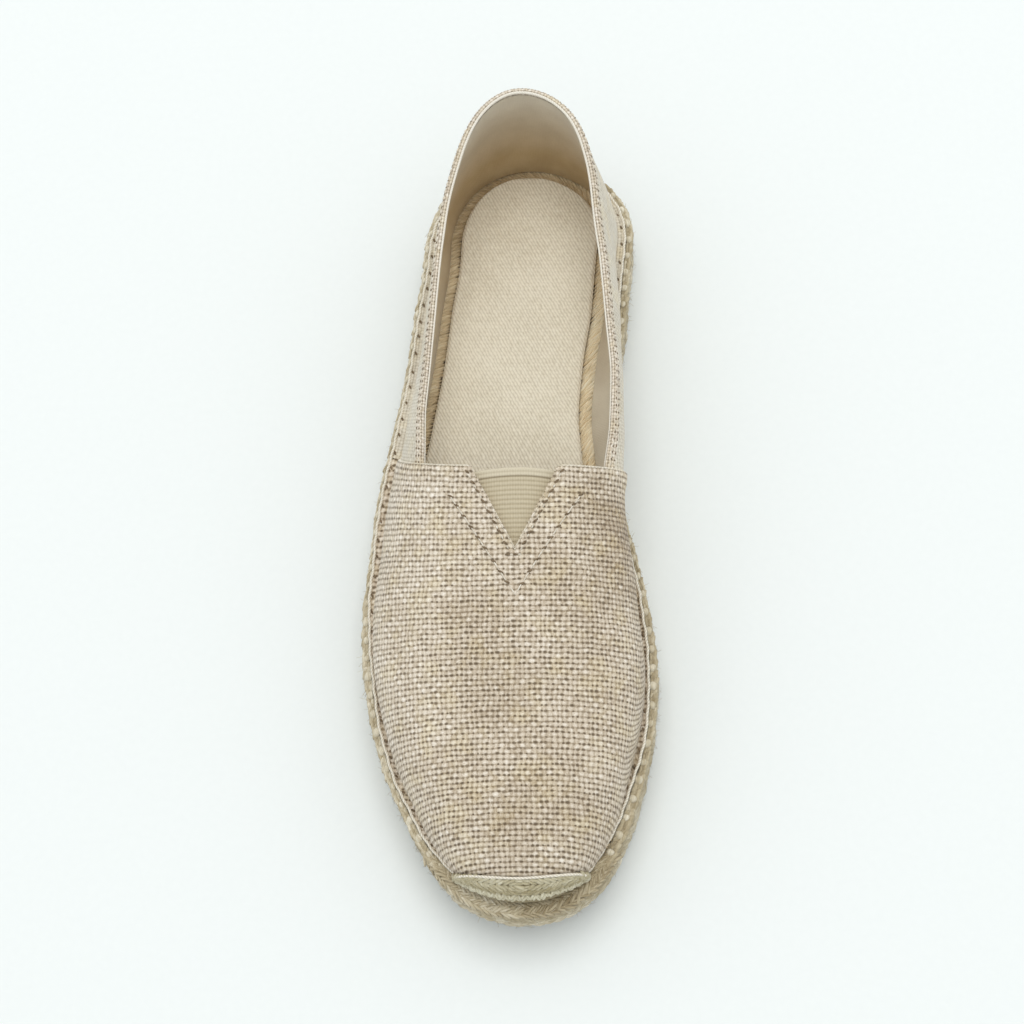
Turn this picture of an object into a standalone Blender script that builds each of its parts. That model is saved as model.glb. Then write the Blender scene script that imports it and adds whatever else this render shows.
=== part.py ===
"""Espadrille, the right shoe of a pair: jute sole, canvas sock, linen upper, elastic gore, toe guard.

Metres. +Z is up, the toe points to -Y and +X is the medial side, where the arch is.
The origin is at the middle of the box round the shoe, on the floor.
Inside the functions, y is the distance from the toe tip and x the distance from the toe-heel axis.
"""
import math

import bmesh
import bpy
import numpy as np

# Sole
SOLE_LENGTH = 0.275
BALL_WIDTH = 0.0976
HEEL_WIDTH = 0.0734
SOLE_THICKNESS = 0.020
TOE_SPRING = 0.005
ARCH_LIFT = 0.0015
PLAIT_PITCH = 0.0064
PLAIT_RELIEF = 0.0005

# Upper
SEAM_INSET = 0.0049
WALL = 0.0016
VAMP_STEP = 0.0006
HEM_STEP = 0.0010
HEM_WIDTH = 0.0042
STEP_RUN = 0.0004
TURN_UP = 0.0014
THROAT_REACH = 0.1352
INSTEP_HEIGHT = 0.0399
TOE_BOX_DEPTH = 0.038
COLLAR_HEIGHT = 0.0456
COLLAR_BACK = 0.0037
VAMP_SWEEP_LATERAL = 0.0206
VAMP_SWEEP_MEDIAL = 0.0118

# Gore, guard and sock
NOTCH_WIDTH = 0.0250
NOTCH_DEPTH = 0.0265
NOTCH_SHIFT = -0.0012
GORE_THICKNESS = 0.0012
GORE_MARGIN = 0.0040
GORE_SET_BACK = 0.0012
GUARD_THICKNESS = 0.0024
GUARD_REACH = 0.0142
GUARD_SAG = 0.0029
INSOLE_THICKNESS = 0.0014
INSOLE_INSET_LATERAL = 0.0136
INSOLE_INSET_MEDIAL = 0.0124
INSOLE_INSET_ENDS = 0.0102

# Gap between pieces that touch, and between curved facets that face each other
CLEARANCE = 0.0003
FACET_CLEARANCE = 0.00045

LATERAL = -1.0
MEDIAL = 1.0
SIDE_NAME = {LATERAL: "lateral", MEDIAL: "medial"}


def table(columns, *rows):
    """Turns rows into one array for each named column."""
    return {name: np.array([row[i] for row in rows]) for i, name in enumerate(columns.split())}


# Half widths of the sole as shares of the local width, before the ends are rounded off
SOLE_PLAN = table(
    "along lateral medial",
    (0.00, 0.555, 0.525),
    (0.10, 0.526, 0.480),
    (0.18, 0.539, 0.462),
    (0.28, 0.551, 0.451),
    (0.36, 0.554, 0.423),
    (0.44, 0.538, 0.380),
    (0.52, 0.534, 0.346),
    (0.60, 0.520, 0.347),
    (0.68, 0.518, 0.388),
    (0.76, 0.520, 0.458),
    (0.84, 0.498, 0.500),
    (0.92, 0.490, 0.530),
    (1.00, 0.500, 0.540),
)

# Outline of the sole's edge: height as a share of the thickness, inset as a share of the seam's inset
SOLE_SIDE = table(
    "height inset relief",
    (1.00, 0.96, 0.0),
    (0.985, 0.42, 1.0),
    (0.90, 0.08, 1.0),
    (0.76, 0.00, 1.0),
    (0.66, 0.20, 0.3),
    (0.52, 0.03, 1.0),
    (0.42, 0.20, 0.3),
    (0.26, 0.02, 1.0),
    (0.08, 0.16, 0.6),
    (0.00, 0.50, 0.0),
)

# Vamp sections from toe to throat: height and bulges as shares of the instep height
VAMP = table(
    "along height fullness lateral medial",
    (0.00, 0.450, 2.50, 0.00, 0.000),
    (0.20, 0.525, 2.50, 0.00, 0.000),
    (0.40, 0.630, 2.45, 0.00, 0.000),
    (0.60, 0.745, 2.40, 0.01, 0.020),
    (0.80, 0.865, 2.35, 0.01, 0.100),
    (1.00, 1.000, 2.30, 0.01, 0.226),
)

# Collar line from vamp to centre back: half widths of the heel width, height of the collar height
COLLAR = table(
    "along lateral medial height",
    (0.00, 0.422, 0.378, 0.634),
    (0.13, 0.423, 0.400, 0.616),
    (0.25, 0.408, 0.399, 0.624),
    (0.41, 0.389, 0.379, 0.651),
    (0.57, 0.366, 0.357, 0.702),
    (0.71, 0.334, 0.330, 0.790),
    (0.83, 0.314, 0.342, 0.880),
    (0.94, 0.312, 0.368, 0.972),
    (1.00, 0.312, 0.374, 1.000),
)

# Outward bulge of the quarter's wall between vamp and centre back, as shares of the collar height
QUARTER = table(
    "along lateral medial",
    (0.00, 0.044, 0.088),
    (0.35, 0.040, 0.096),
    (0.60, 0.028, 0.052),
    (0.80, 0.032, 0.036),
    (1.00, 0.044, 0.044),
)

# Rows of the toe guard from the sole to its top line, as shares of its depth
GUARD_SHARES = (0.01, 0.06, 0.16, 0.32, 0.54, 0.78, 1.00)

# Where ends start to round off, and the powers of their curves
TOE_ROUND = 0.33
HEEL_ROUND = 0.14
COLLAR_ROUND = 0.338
BLUNT = (1.75, 2.2)
OVAL = (2.0, 2.0)

# Stretches of the sole, as shares of its length
SPRING_REACH = 0.19
ARCH_FRONT = 0.47
ARCH_END = 0.70
WAIST_START = 0.40
WAIST_RUN = 0.45

# Power that lifts the widest place of the vamp's bulge, and stretches over which the quarter takes
# over the vamp's collar point and wall, as shares of its own length
BULGE_LIFT = 1.2
COLLAR_BLEND = 0.3
WALL_BLEND = 0.4

# Fineness of the outlines and of the solids
EDGE_STEPS = 721
RIM_STEPS = 241
TOE_CROWDING = 1.5
VAMP_SECTIONS = 20
QUARTER_COLUMNS = 22
WALL_ROWS = 4
CROWN_ROWS = 7
GUARD_COLUMNS = 24
GORE_SECTIONS = 9
GORE_COLUMNS = 5
INSOLE_STATIONS = 30


def read(values, name, at):
    """Value of a table's column between its rows, on a smooth curve that never overshoots."""
    x, v = values["along"], values[name]
    at = min(max(at, x[0]), x[-1])
    i = int(min(np.searchsorted(x, at, side="right") - 1, len(x) - 2))
    slope = np.diff(v) / np.diff(x)
    tangent = np.zeros(len(x))
    tangent[0], tangent[-1] = slope[0], slope[-1]
    for k in range(1, len(x) - 1):
        if slope[k - 1] * slope[k] > 0:
            tangent[k] = 2.0 / (1.0 / slope[k - 1] + 1.0 / slope[k])
    h = x[i + 1] - x[i]
    t = (at - x[i]) / h
    start = (2 * t ** 3 - 3 * t ** 2 + 1) * v[i] + (t ** 3 - 2 * t ** 2 + t) * h * tangent[i]
    end = (3 * t ** 2 - 2 * t ** 3) * v[i + 1] + (t ** 3 - t ** 2) * h * tangent[i + 1]
    return float(start + end)


def ease(t):
    """Smooth step from 0 to 1."""
    t = min(max(t, 0.0), 1.0)
    return t * t * (3.0 - 2.0 * t)


def rounded(t, p, q):
    """Rises from 0 to 1 like the end of an oval."""
    t = min(max(t, 0.0), 1.0)
    return (1.0 - (1.0 - t) ** p) ** (1.0 / q)


def sole_half_width(side, y):
    """Distance from the toe-heel axis to the sole's edge."""
    along = y / SOLE_LENGTH
    local = BALL_WIDTH + (HEEL_WIDTH - BALL_WIDTH) * ease((along - WAIST_START) / WAIST_RUN)
    ends = rounded(along / TOE_ROUND, *BLUNT) * rounded((1.0 - along) / HEEL_ROUND, *OVAL)
    return local * ends * read(SOLE_PLAN, SIDE_NAME[side], along)


def sole_bottom(y):
    """Height of the underside: level under ball and heel, sprung at the toe, lifted at the arch."""
    along = y / SOLE_LENGTH
    spring = TOE_SPRING * max(0.0, 1.0 - along / SPRING_REACH) ** 2
    arch = 0.0
    if ARCH_FRONT < along < ARCH_END:
        arch = ARCH_LIFT * math.sin(math.pi * (along - ARCH_FRONT) / (ARCH_END - ARCH_FRONT)) ** 2
    return spring + arch


def sole_top(y):
    """Height of the face that the foot stands on."""
    return sole_bottom(y) + SOLE_THICKNESS


def seat(y, reach):
    """Height at which a wall stands clear of the sole, also where it thickens towards the toe."""
    return max(sole_top(y), sole_top(y - reach)) + CLEARANCE


def even(points, count):
    """Points at equal steps along a polyline."""
    points = np.array(points)
    steps = np.linalg.norm(np.diff(points, axis=0), axis=1)
    run = np.concatenate(([0.0], np.cumsum(steps)))
    targets = np.linspace(0.0, run[-1], count)
    return np.stack([np.interp(targets, run, points[:, k]) for k in range(points.shape[1])], axis=1)


def dense_edge(side, inset):
    """The sole's edge on one side from toe tip to heel, moved inwards by an inset."""
    turns = np.linspace(0.0, math.pi, EDGE_STEPS)
    ys = SOLE_LENGTH * (1.0 - np.cos(turns)) / 2.0
    edge = np.array([(side * sole_half_width(side, y), y) for y in ys])
    tangent = np.gradient(edge, axis=0)
    tangent[0] = (side, 0.0)
    tangent[-1] = (-side, 0.0)
    tangent /= np.linalg.norm(tangent, axis=1)[:, None]
    inward = np.stack([-side * tangent[:, 1], side * tangent[:, 0]], axis=1)
    return edge + inward * inset


EDGES = {}


def edge_line(side, inset):
    """dense_edge, kept so that each inset is worked out once."""
    if (side, inset) not in EDGES:
        EDGES[(side, inset)] = dense_edge(side, inset)
    return EDGES[(side, inset)]


def edge_x(side, inset, y):
    """x of the inset edge at a distance from the toe tip."""
    line = edge_line(side, inset)
    return float(np.interp(y, line[:, 1], line[:, 0]))


def frame_shift():
    """Moves the toe-heel axis and toe tip into the frame of the finished shoe."""
    lateral = edge_line(LATERAL, 0.0)[:, 0].min()
    medial = edge_line(MEDIAL, 0.0)[:, 0].max()
    return np.array((-(lateral + medial) / 2.0, -SOLE_LENGTH / 2.0, 0.0))


class Sheet:
    """Collects points and faces, joining points that coincide, with a thickness for each point."""

    def __init__(self):
        self.points = []
        self.thickness = []
        self.faces = []
        self.index = {}

    def point(self, place, thickness=0.0):
        key = tuple(int(round(value * 1e7)) for value in place)
        if key not in self.index:
            self.index[key] = len(self.points)
            self.points.append(tuple(float(value) for value in place))
            self.thickness.append(thickness)
        return self.index[key]

    def grid(self, rows, thickness=None, flip=False):
        """Quads over rows of points. All rows have the same number of points."""
        ids = []
        for i, row in enumerate(rows):
            ids.append([self.point(p, thickness[i][k] if thickness else 0.0) for k, p in enumerate(row)])
        for i in range(len(ids) - 1):
            for k in range(len(ids[i]) - 1):
                self.face([ids[i][k], ids[i][k + 1], ids[i + 1][k + 1], ids[i + 1][k]], flip)

    def face(self, corners, flip=False):
        loop = [c for n, c in enumerate(corners) if c != corners[n - 1]]
        if len(set(loop)) > 2:
            self.faces.append(loop[::-1] if flip else loop)

    def mesh(self, name):
        shift = frame_shift()
        mesh = bpy.data.meshes.new(name)
        mesh.from_pydata([tuple(np.array(p) + shift) for p in self.points], [], self.faces)
        mesh.validate()
        return mesh


def material(name, colour, roughness):
    """Plain Principled material for one piece."""
    made = bpy.data.materials.new(name)
    made.use_nodes = True
    shader = made.node_tree.nodes["Principled BSDF"]
    shader.inputs["Base Color"].default_value = (*colour, 1.0)
    shader.inputs["Roughness"].default_value = roughness
    shader.inputs["Metallic"].default_value = 0.0
    return made


def add_object(mesh, collection, finish=None):
    """Puts a mesh into a collection as an object of the same name."""
    item = bpy.data.objects.new(mesh.name, mesh)
    collection.objects.link(item)
    if finish:
        mesh.materials.append(finish)
        mesh.shade_smooth()
        mesh.set_sharp_from_angle(angle=math.radians(40.0))
    return item


def half_outline_stations():
    """Distances from the toe tip at equal steps along the middle one of both edges."""
    lateral, medial = edge_line(LATERAL, 0.0), edge_line(MEDIAL, 0.0)
    middle = np.stack([(medial[:, 0] - lateral[:, 0]) / 2.0, medial[:, 1]], axis=1)
    length = np.linalg.norm(np.diff(middle, axis=0), axis=1).sum()
    loops = round(length / PLAIT_PITCH)
    return even(middle, 2 * loops + 1)[:, 1]


def make_sole(collection):
    """The coiled plait: rings round its edge, then flat strips across the top and the underside."""
    ys = half_outline_stations()
    sheet = Sheet()
    rings = []
    outline = zip(SOLE_SIDE["height"], SOLE_SIDE["inset"], SOLE_SIDE["relief"])
    for level, (height, inset, relief) in enumerate(outline):
        sides = {}
        for side in (LATERAL, MEDIAL):
            line = []
            for n, y in enumerate(ys):
                wave = PLAIT_RELIEF * relief * (1 if (n + level) % 2 else -1)
                ends = n in (0, len(ys) - 1)
                edge = edge_line(side, inset * SEAM_INSET + PLAIT_RELIEF + (0.0 if ends else wave))
                row = int(round(np.interp(y, edge_line(side, 0.0)[:, 1], np.arange(len(edge)))))
                x, along = edge[row]
                if ends:
                    x = 0.0
                z = sole_bottom(along) + height * SOLE_THICKNESS
                line.append((x, along, z))
            sides[side] = line
        rings.append(sides)
    for upper, lower in zip(rings, rings[1:]):
        sheet.grid([upper[LATERAL], lower[LATERAL]])
        sheet.grid([upper[MEDIAL], lower[MEDIAL]], flip=True)
    sheet.grid([rings[0][LATERAL], rings[0][MEDIAL]], flip=True)
    sheet.grid([rings[-1][LATERAL], rings[-1][MEDIAL]])
    return add_object(closed(sheet, "sole"), collection, material("jute", (0.56, 0.45, 0.31), 0.9))


def closed(sheet, name):
    """Mesh of a sheet that closes on itself, its faces turned outwards."""
    mesh = sheet.mesh(name)
    shape = bmesh.new()
    shape.from_mesh(mesh)
    bmesh.ops.recalc_face_normals(shape, faces=shape.faces)
    shape.to_mesh(mesh)
    shape.free()
    return mesh


def foot_inset():
    """Inset of the upper's inner face at the seam to the sole."""
    return SEAM_INSET + WALL + PLAIT_RELIEF


def upper_seat(y):
    """Height of the upper's lower edge."""
    return seat(y, WALL + VAMP_STEP + HEM_STEP)


def sweep(side, along):
    """How far a vamp section's foot lies behind its ridge."""
    size = VAMP_SWEEP_LATERAL if side == LATERAL else VAMP_SWEEP_MEDIAL
    return size * along ** 2


def vamp_height(y):
    """Height of the ridge above the sole's top."""
    along = y / THROAT_REACH
    return INSTEP_HEIGHT * read(VAMP, "height", along) * rounded((y - foot_inset()) / TOE_BOX_DEPTH, *OVAL)


def vamp_point(side, y, level):
    """Inner face of the vamp: y is the ridge's place, level the height as a share of the ridge's."""
    along = y / THROAT_REACH
    foot_y = y + sweep(side, along)
    foot_x = edge_x(side, foot_inset(), foot_y)
    foot_z = upper_seat(foot_y)
    ridge_z = upper_seat(y) + vamp_height(y)
    n = read(VAMP, "fullness", along)
    bulge = INSTEP_HEIGHT * read(VAMP, SIDE_NAME[side], along) * math.sin(math.pi * level ** BULGE_LIFT)
    x = foot_x * max(0.0, 1.0 - level ** n) ** (1.0 / n) + side * bulge
    return np.array((x, foot_y + (y - foot_y) * level, foot_z + (ridge_z - foot_z) * level))


def wall_levels(height):
    """Rows up the wall, as shares of its height: turn-up, body, both lines of the hem's step, rim."""
    turn = TURN_UP / height
    hem = 1.0 - HEM_WIDTH / height
    body = np.linspace(turn, hem, WALL_ROWS + 1)
    return [0.0, *body, hem + STEP_RUN / height, 1.0]


def collar_start():
    """Share of the instep height at which the collar meets the vamp's back edge."""
    return COLLAR_HEIGHT * COLLAR["height"][0] / INSTEP_HEIGHT


def section_levels():
    """Levels of a vamp section from foot to ridge: the wall's rows, then the crown's."""
    start = collar_start()
    wall = [start * share for share in wall_levels(COLLAR_HEIGHT * COLLAR["height"][0])]
    n = VAMP["fullness"][-1]
    first = math.asin(start ** (n / 2.0))
    turns = np.linspace(first, math.pi / 2.0, CROWN_ROWS + 1)[1:]
    crown = [min(1.0, math.sin(turn) ** (2.0 / n)) for turn in turns]
    return wall, crown


def vamp_stations():
    """Places of the vamp's sections along the ridge, closer at the toe, with the hem's step."""
    span = THROAT_REACH - HEM_WIDTH - foot_inset()
    ys = [foot_inset() + span * (k / VAMP_SECTIONS) ** TOE_CROWDING for k in range(1, VAMP_SECTIONS + 1)]
    return ys + [THROAT_REACH - HEM_WIDTH + STEP_RUN, THROAT_REACH]


def turn_up(point, foot):
    """Keeps the lowest strip of the wall upright over its foot."""
    return np.array((foot[0], foot[1], point[2]))


def half_section(side, y):
    """Points of one side of a vamp section, from foot to ridge."""
    wall, crown = section_levels()
    line = [vamp_point(side, y, level) for level in wall + crown]
    line[1] = turn_up(line[1], line[0])
    return line


def vamp_section(y):
    """Points across the vamp, from the lateral foot over the ridge to the medial foot."""
    return half_section(LATERAL, y) + half_section(MEDIAL, y)[-2::-1]


def quarter_grid(side):
    """Columns of the quarter's inner face, from the vamp's back edge to the centre back."""
    seam = half_section(side, THROAT_REACH)[:WALL_ROWS + 4]
    foot_start, rim_start = seam[0], seam[-1]
    line = edge_line(side, foot_inset())
    behind = line[line[:, 1] > foot_start[1] + 1e-6]
    foot = even([tuple(foot_start[:2]), *map(tuple, behind)], QUARTER_COLUMNS + 1)
    foot[-1, 0] = 0.0
    back = SOLE_LENGTH - COLLAR_BACK
    rim = []
    for turn in np.linspace(0.0, math.pi / 2.0, RIM_STEPS):
        along = math.sin(turn)
        half = HEEL_WIDTH * read(COLLAR, SIDE_NAME[side], along)
        half *= rounded((1.0 - along) / COLLAR_ROUND, *OVAL)
        y = rim_start[1] + (back - rim_start[1]) * along
        start_gap = side * rim_start[0] - HEEL_WIDTH * COLLAR[SIDE_NAME[side]][0]
        half += start_gap * (1.0 - ease(along / COLLAR_BLEND))
        height = COLLAR_HEIGHT * read(COLLAR, "height", along)
        rim.append((side * half, y, upper_seat(y) + height))
    rim = even(rim, QUARTER_COLUMNS + 1)
    rim[-1, 0] = 0.0
    columns = []
    for k in range(QUARTER_COLUMNS + 1):
        along = k / QUARTER_COLUMNS
        low = np.array((*foot[k], upper_seat(foot[k, 1])))
        high = rim[k]
        ahead, after = foot[max(k - 1, 0)], foot[min(k + 1, QUARTER_COLUMNS)]
        run = (after - ahead) / np.linalg.norm(after - ahead)
        out = np.array((side * run[1], -side * run[0], 0.0))
        if k == QUARTER_COLUMNS:
            out = np.array((0.0, 1.0, 0.0))
        bulge = COLLAR_HEIGHT * read(QUARTER, SIDE_NAME[side], along)
        levels = wall_levels(high[2] - low[2])
        column = [low + (high - low) * g + out * bulge * math.sin(math.pi * g) for g in levels]
        column[1] = turn_up(column[1], low)
        columns.append(column)
    first = [np.array(p) for p in columns[0]]
    for k, column in enumerate(columns):
        left = 1.0 - ease(k / (WALL_BLEND * QUARTER_COLUMNS))
        for row in range(len(column)):
            column[row] = column[row] + (seam[row] - first[row]) * left
    step = np.array((0.0, STEP_RUN, 0.0))
    columns[0] = [p + step for p in columns[0]]
    return [seam] + columns


def toe_front():
    """Foot points round the toe tip, as many as one vamp section has, in front of the first section."""
    count = len(vamp_section(vamp_stations()[0]))
    y = vamp_stations()[0]
    front = []
    for side in (LATERAL, MEDIAL):
        line = edge_line(side, foot_inset())
        ahead = [tuple(p) for p in line if p[1] < y]
        points = [(0.0, line[0][1])] + ahead[1:] + [(edge_x(side, foot_inset(), y), y)]
        half = even(points, (count + 1) // 2)
        half = [np.array((p[0], p[1], upper_seat(p[1]))) for p in half]
        front.append(half)
    return front[0][::-1] + front[1][1:]


def make_upper(collection, cutters):
    """Vamp and quarter as one wall round the last, thicker where a layer or a hem lies over it."""
    sheet = Sheet()
    vamp, hem = WALL + VAMP_STEP, WALL + VAMP_STEP + HEM_STEP
    sections = [toe_front()] + [vamp_section(y) for y in vamp_stations()]
    walls = [[vamp] * len(sections[0])] * (len(sections) - 2) + [[hem] * len(sections[0])] * 2
    sheet.grid(sections, walls)
    for side in (LATERAL, MEDIAL):
        columns = quarter_grid(side)
        rows = len(columns[0])
        body = [WALL] * (rows - 2) + [WALL + HEM_STEP] * 2
        sheet.grid(columns, [[hem] * rows] + [body] * (len(columns) - 1), flip=side == MEDIAL)
    mesh = sheet.mesh("upper")
    upper = add_object(mesh, collection, material("linen", (0.62, 0.55, 0.43), 0.92))
    group = upper.vertex_groups.new(name="thickness")
    for n, value in enumerate(sheet.thickness):
        group.add([n], value / hem, "REPLACE")
    wall = upper.modifiers.new("wall", "SOLIDIFY")
    wall.thickness = hem
    wall.offset = 1.0
    wall.vertex_group = group.name
    wall.thickness_vertex_group = 0.0
    wall.use_even_offset = False
    notch = upper.modifiers.new("notch", "BOOLEAN")
    notch.operation = "DIFFERENCE"
    notch.solver = "EXACT"
    notch.object = make_notch_cutter(cutters)
    return upper


def make_notch_cutter(cutters):
    """Upright V prism that opens the throat, wide at the throat and pointed towards the toe."""
    outline = bpy.data.curves.new("notch_outline", "CURVE")
    outline.dimensions = "2D"
    outline.fill_mode = "BOTH"
    outline.extrude = INSTEP_HEIGHT / 4.0
    past = NOTCH_DEPTH / 4.0
    widen = (NOTCH_DEPTH + past) / NOTCH_DEPTH
    spline = outline.splines.new("POLY")
    spline.points.add(2)
    shift = frame_shift()
    corners = (
        (NOTCH_SHIFT, THROAT_REACH - NOTCH_DEPTH),
        (NOTCH_SHIFT + widen * NOTCH_WIDTH / 2.0, THROAT_REACH + past),
        (NOTCH_SHIFT - widen * NOTCH_WIDTH / 2.0, THROAT_REACH + past),
    )
    for point, (x, y) in zip(spline.points, corners):
        point.co = (x + shift[0], y + shift[1], 0.0, 1.0)
    spline.use_cyclic_u = True
    holder = bpy.data.objects.new("notch_outline", outline)
    cutters.objects.link(holder)
    holder.location.z = sole_top(THROAT_REACH) + INSTEP_HEIGHT
    bpy.context.view_layer.update()
    evaluated = holder.evaluated_get(bpy.context.evaluated_depsgraph_get())
    mesh = bpy.data.meshes.new_from_object(evaluated)
    mesh.name = "notch_cutter"
    shape = bmesh.new()
    shape.from_mesh(mesh)
    bmesh.ops.remove_doubles(shape, verts=shape.verts, dist=0.00001)
    bmesh.ops.recalc_face_normals(shape, faces=shape.faces)
    shape.to_mesh(mesh)
    shape.free()
    cutter = bpy.data.objects.new("notch_cutter", mesh)
    cutter.matrix_world = holder.matrix_world
    bpy.data.objects.remove(holder)
    cutters.objects.link(cutter)
    cutter.hide_render = True
    cutter.display_type = "WIRE"
    return cutter


def moved_along_normals(mesh, distance):
    """Moves a sheet's points along its normals."""
    normals = [vertex.normal.copy() for vertex in mesh.vertices]
    for vertex, normal in zip(mesh.vertices, normals):
        vertex.co = vertex.co + normal * distance


def make_gore(collection):
    """Elastic triangle that lies under the vamp and closes the notch."""
    sheet = Sheet()
    start = THROAT_REACH - NOTCH_DEPTH - GORE_MARGIN
    end = THROAT_REACH - GORE_SET_BACK
    sections = []
    for k in range(GORE_SECTIONS + 1):
        y = start + (end - start) * k / GORE_SECTIONS
        wide = GORE_MARGIN + NOTCH_WIDTH / 2.0 * max(0.0, y - (THROAT_REACH - NOTCH_DEPTH)) / NOTCH_DEPTH
        row = []
        for c in range(-GORE_COLUMNS, GORE_COLUMNS + 1):
            side = LATERAL if c < 0 else MEDIAL
            foot = abs(edge_x(side, foot_inset(), y + sweep(side, y / THROAT_REACH)))
            n = read(VAMP, "fullness", y / THROAT_REACH)
            level = (1.0 - (wide * abs(c) / GORE_COLUMNS / foot) ** n) ** (1.0 / n)
            row.append(vamp_point(side, y, level))
        sections.append(row)
    sheet.grid(sections)
    mesh = sheet.mesh("elastic_gore")
    moved_along_normals(mesh, -FACET_CLEARANCE)
    gore = add_object(mesh, collection, material("elastic", (0.66, 0.57, 0.42), 0.85))
    wall = gore.modifiers.new("wall", "SOLIDIFY")
    wall.thickness = GORE_THICKNESS
    wall.offset = -1.0
    wall.use_even_offset = True
    return gore


def toe_surface(x, y):
    """Height of the upper's inner face near the toe, where no section leans."""
    side = LATERAL if x < 0.0 else MEDIAL
    n = read(VAMP, "fullness", y / THROAT_REACH)
    foot = abs(edge_x(side, foot_inset(), y))
    if abs(x) >= foot:
        return upper_seat(y)
    return upper_seat(y) + vamp_height(y) * (1.0 - (abs(x) / foot) ** n) ** (1.0 / n)


def toe_normal(x, y):
    """Outward direction of that face."""
    d = STEP_RUN / 4.0
    rise_x = (toe_surface(x + d, y) - toe_surface(x - d, y)) / (2.0 * d)
    rise_y = (toe_surface(x, y + d) - toe_surface(x, y - d)) / (2.0 * d)
    normal = np.array((-rise_x, -rise_y, 1.0))
    return normal / np.linalg.norm(normal)


def make_guard(collection):
    """Jute bumper that lies on the vamp round the toe tip, back to a shallow curve across the toe."""
    inset = foot_inset()
    halves = []
    for side in (LATERAL, MEDIAL):
        line = edge_line(side, inset)
        near = [(0.0, line[0][1])] + [tuple(p) for p in line[1:] if p[1] < GUARD_REACH]
        near.append((edge_x(side, inset, GUARD_REACH), GUARD_REACH))
        halves.append(even(near, GUARD_COLUMNS // 2 + 1))
    feet = np.concatenate((halves[0][::-1], halves[1][1:]))
    across = np.linspace(feet[0][0], feet[-1][0], len(feet))
    top_line = GUARD_REACH - GUARD_SAG * (1.0 - np.linspace(-1.0, 1.0, len(feet)) ** 2)
    spread = WALL + VAMP_STEP + FACET_CLEARANCE
    sheet = Sheet()
    rows = []
    for share in GUARD_SHARES:
        row = []
        for k, (foot_x, foot_y) in enumerate(feet):
            x = foot_x + (across[k] - foot_x) * share
            y = foot_y + (top_line[k] - foot_y) * share
            normal = toe_normal(x, y)
            x, y, z = np.array((x, y, toe_surface(x, y))) + normal * spread
            floor = seat(y, GUARD_THICKNESS)
            row.append((x, y, floor if share == GUARD_SHARES[0] else max(z, floor + TURN_UP * share)))
        rows.append(row)
    sheet.grid(rows)
    guard = add_object(sheet.mesh("toe_guard"), collection, material("jute_plait", (0.50, 0.44, 0.30), 0.9))
    wall = guard.modifiers.new("wall", "SOLIDIFY")
    wall.thickness = GUARD_THICKNESS
    wall.offset = 1.0
    wall.use_even_offset = False
    return guard


def make_insole(collection):
    """Canvas sock, a flat slab that leaves jute showing all round it."""
    sheet = Sheet()
    first, last = INSOLE_INSET_ENDS, SOLE_LENGTH - INSOLE_INSET_ENDS
    floor, roof = [], []
    for level, lines in ((0.0, floor), (INSOLE_THICKNESS, roof)):
        for side, inset in ((LATERAL, INSOLE_INSET_LATERAL), (MEDIAL, INSOLE_INSET_MEDIAL)):
            line = edge_line(side, inset)
            squeeze = (last - first) / (line[-1, 1] - line[0, 1])
            points = []
            for k in range(INSOLE_STATIONS + 1):
                turn = math.pi * k / INSOLE_STATIONS
                y = line[0, 1] + (line[-1, 1] - line[0, 1]) * (1.0 - math.cos(turn)) / 2.0
                x = float(np.interp(y, line[:, 1], line[:, 0])) if 0 < k < INSOLE_STATIONS else 0.0
                place = first + (y - line[0, 1]) * squeeze
                points.append((x, place, sole_top(place) + FACET_CLEARANCE + level))
            lines.append(points)
    sheet.grid([floor[0], floor[1]])
    sheet.grid([roof[0], roof[1]], flip=True)
    sheet.grid([floor[0], roof[0]])
    sheet.grid([floor[1], roof[1]], flip=True)
    return add_object(closed(sheet, "insole"), collection, material("twill", (0.80, 0.74, 0.62), 0.9))


def build():
    for item in list(bpy.data.objects):
        bpy.data.objects.remove(item)
    shoe = bpy.data.collections.new("espadrille")
    cutters = bpy.data.collections.new("cutters")
    bpy.context.scene.collection.children.link(shoe)
    bpy.context.scene.collection.children.link(cutters)
    make_sole(shoe)
    make_insole(shoe)
    make_upper(shoe, cutters)
    make_gore(shoe)
    make_guard(shoe)


build()
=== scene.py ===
"""Espadrille, the right shoe of a pair: jute sole, twill sock, linen upper, elastic gore, toe guard.

Metres, in the frame of the solids: +Z up, the toe points to -Y, +X is the medial side.
Inside the functions y is the distance from the toe tip and x the distance from the toe-heel axis.
"""
import math

import bpy
import numpy as np
from mathutils import Matrix, Vector


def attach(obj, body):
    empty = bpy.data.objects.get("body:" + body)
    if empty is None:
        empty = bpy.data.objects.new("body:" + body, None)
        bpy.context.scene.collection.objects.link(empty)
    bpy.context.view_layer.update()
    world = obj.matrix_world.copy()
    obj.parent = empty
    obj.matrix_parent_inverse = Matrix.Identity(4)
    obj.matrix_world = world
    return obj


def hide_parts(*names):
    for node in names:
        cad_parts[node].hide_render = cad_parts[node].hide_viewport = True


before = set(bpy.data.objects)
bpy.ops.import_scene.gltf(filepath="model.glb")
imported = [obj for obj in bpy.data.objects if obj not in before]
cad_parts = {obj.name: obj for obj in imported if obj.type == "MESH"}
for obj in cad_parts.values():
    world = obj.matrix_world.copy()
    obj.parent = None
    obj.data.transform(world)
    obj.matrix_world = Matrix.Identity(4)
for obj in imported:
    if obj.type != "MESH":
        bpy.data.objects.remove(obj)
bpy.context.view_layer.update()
bpy.ops.object.select_all(action="DESELECT")

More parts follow.
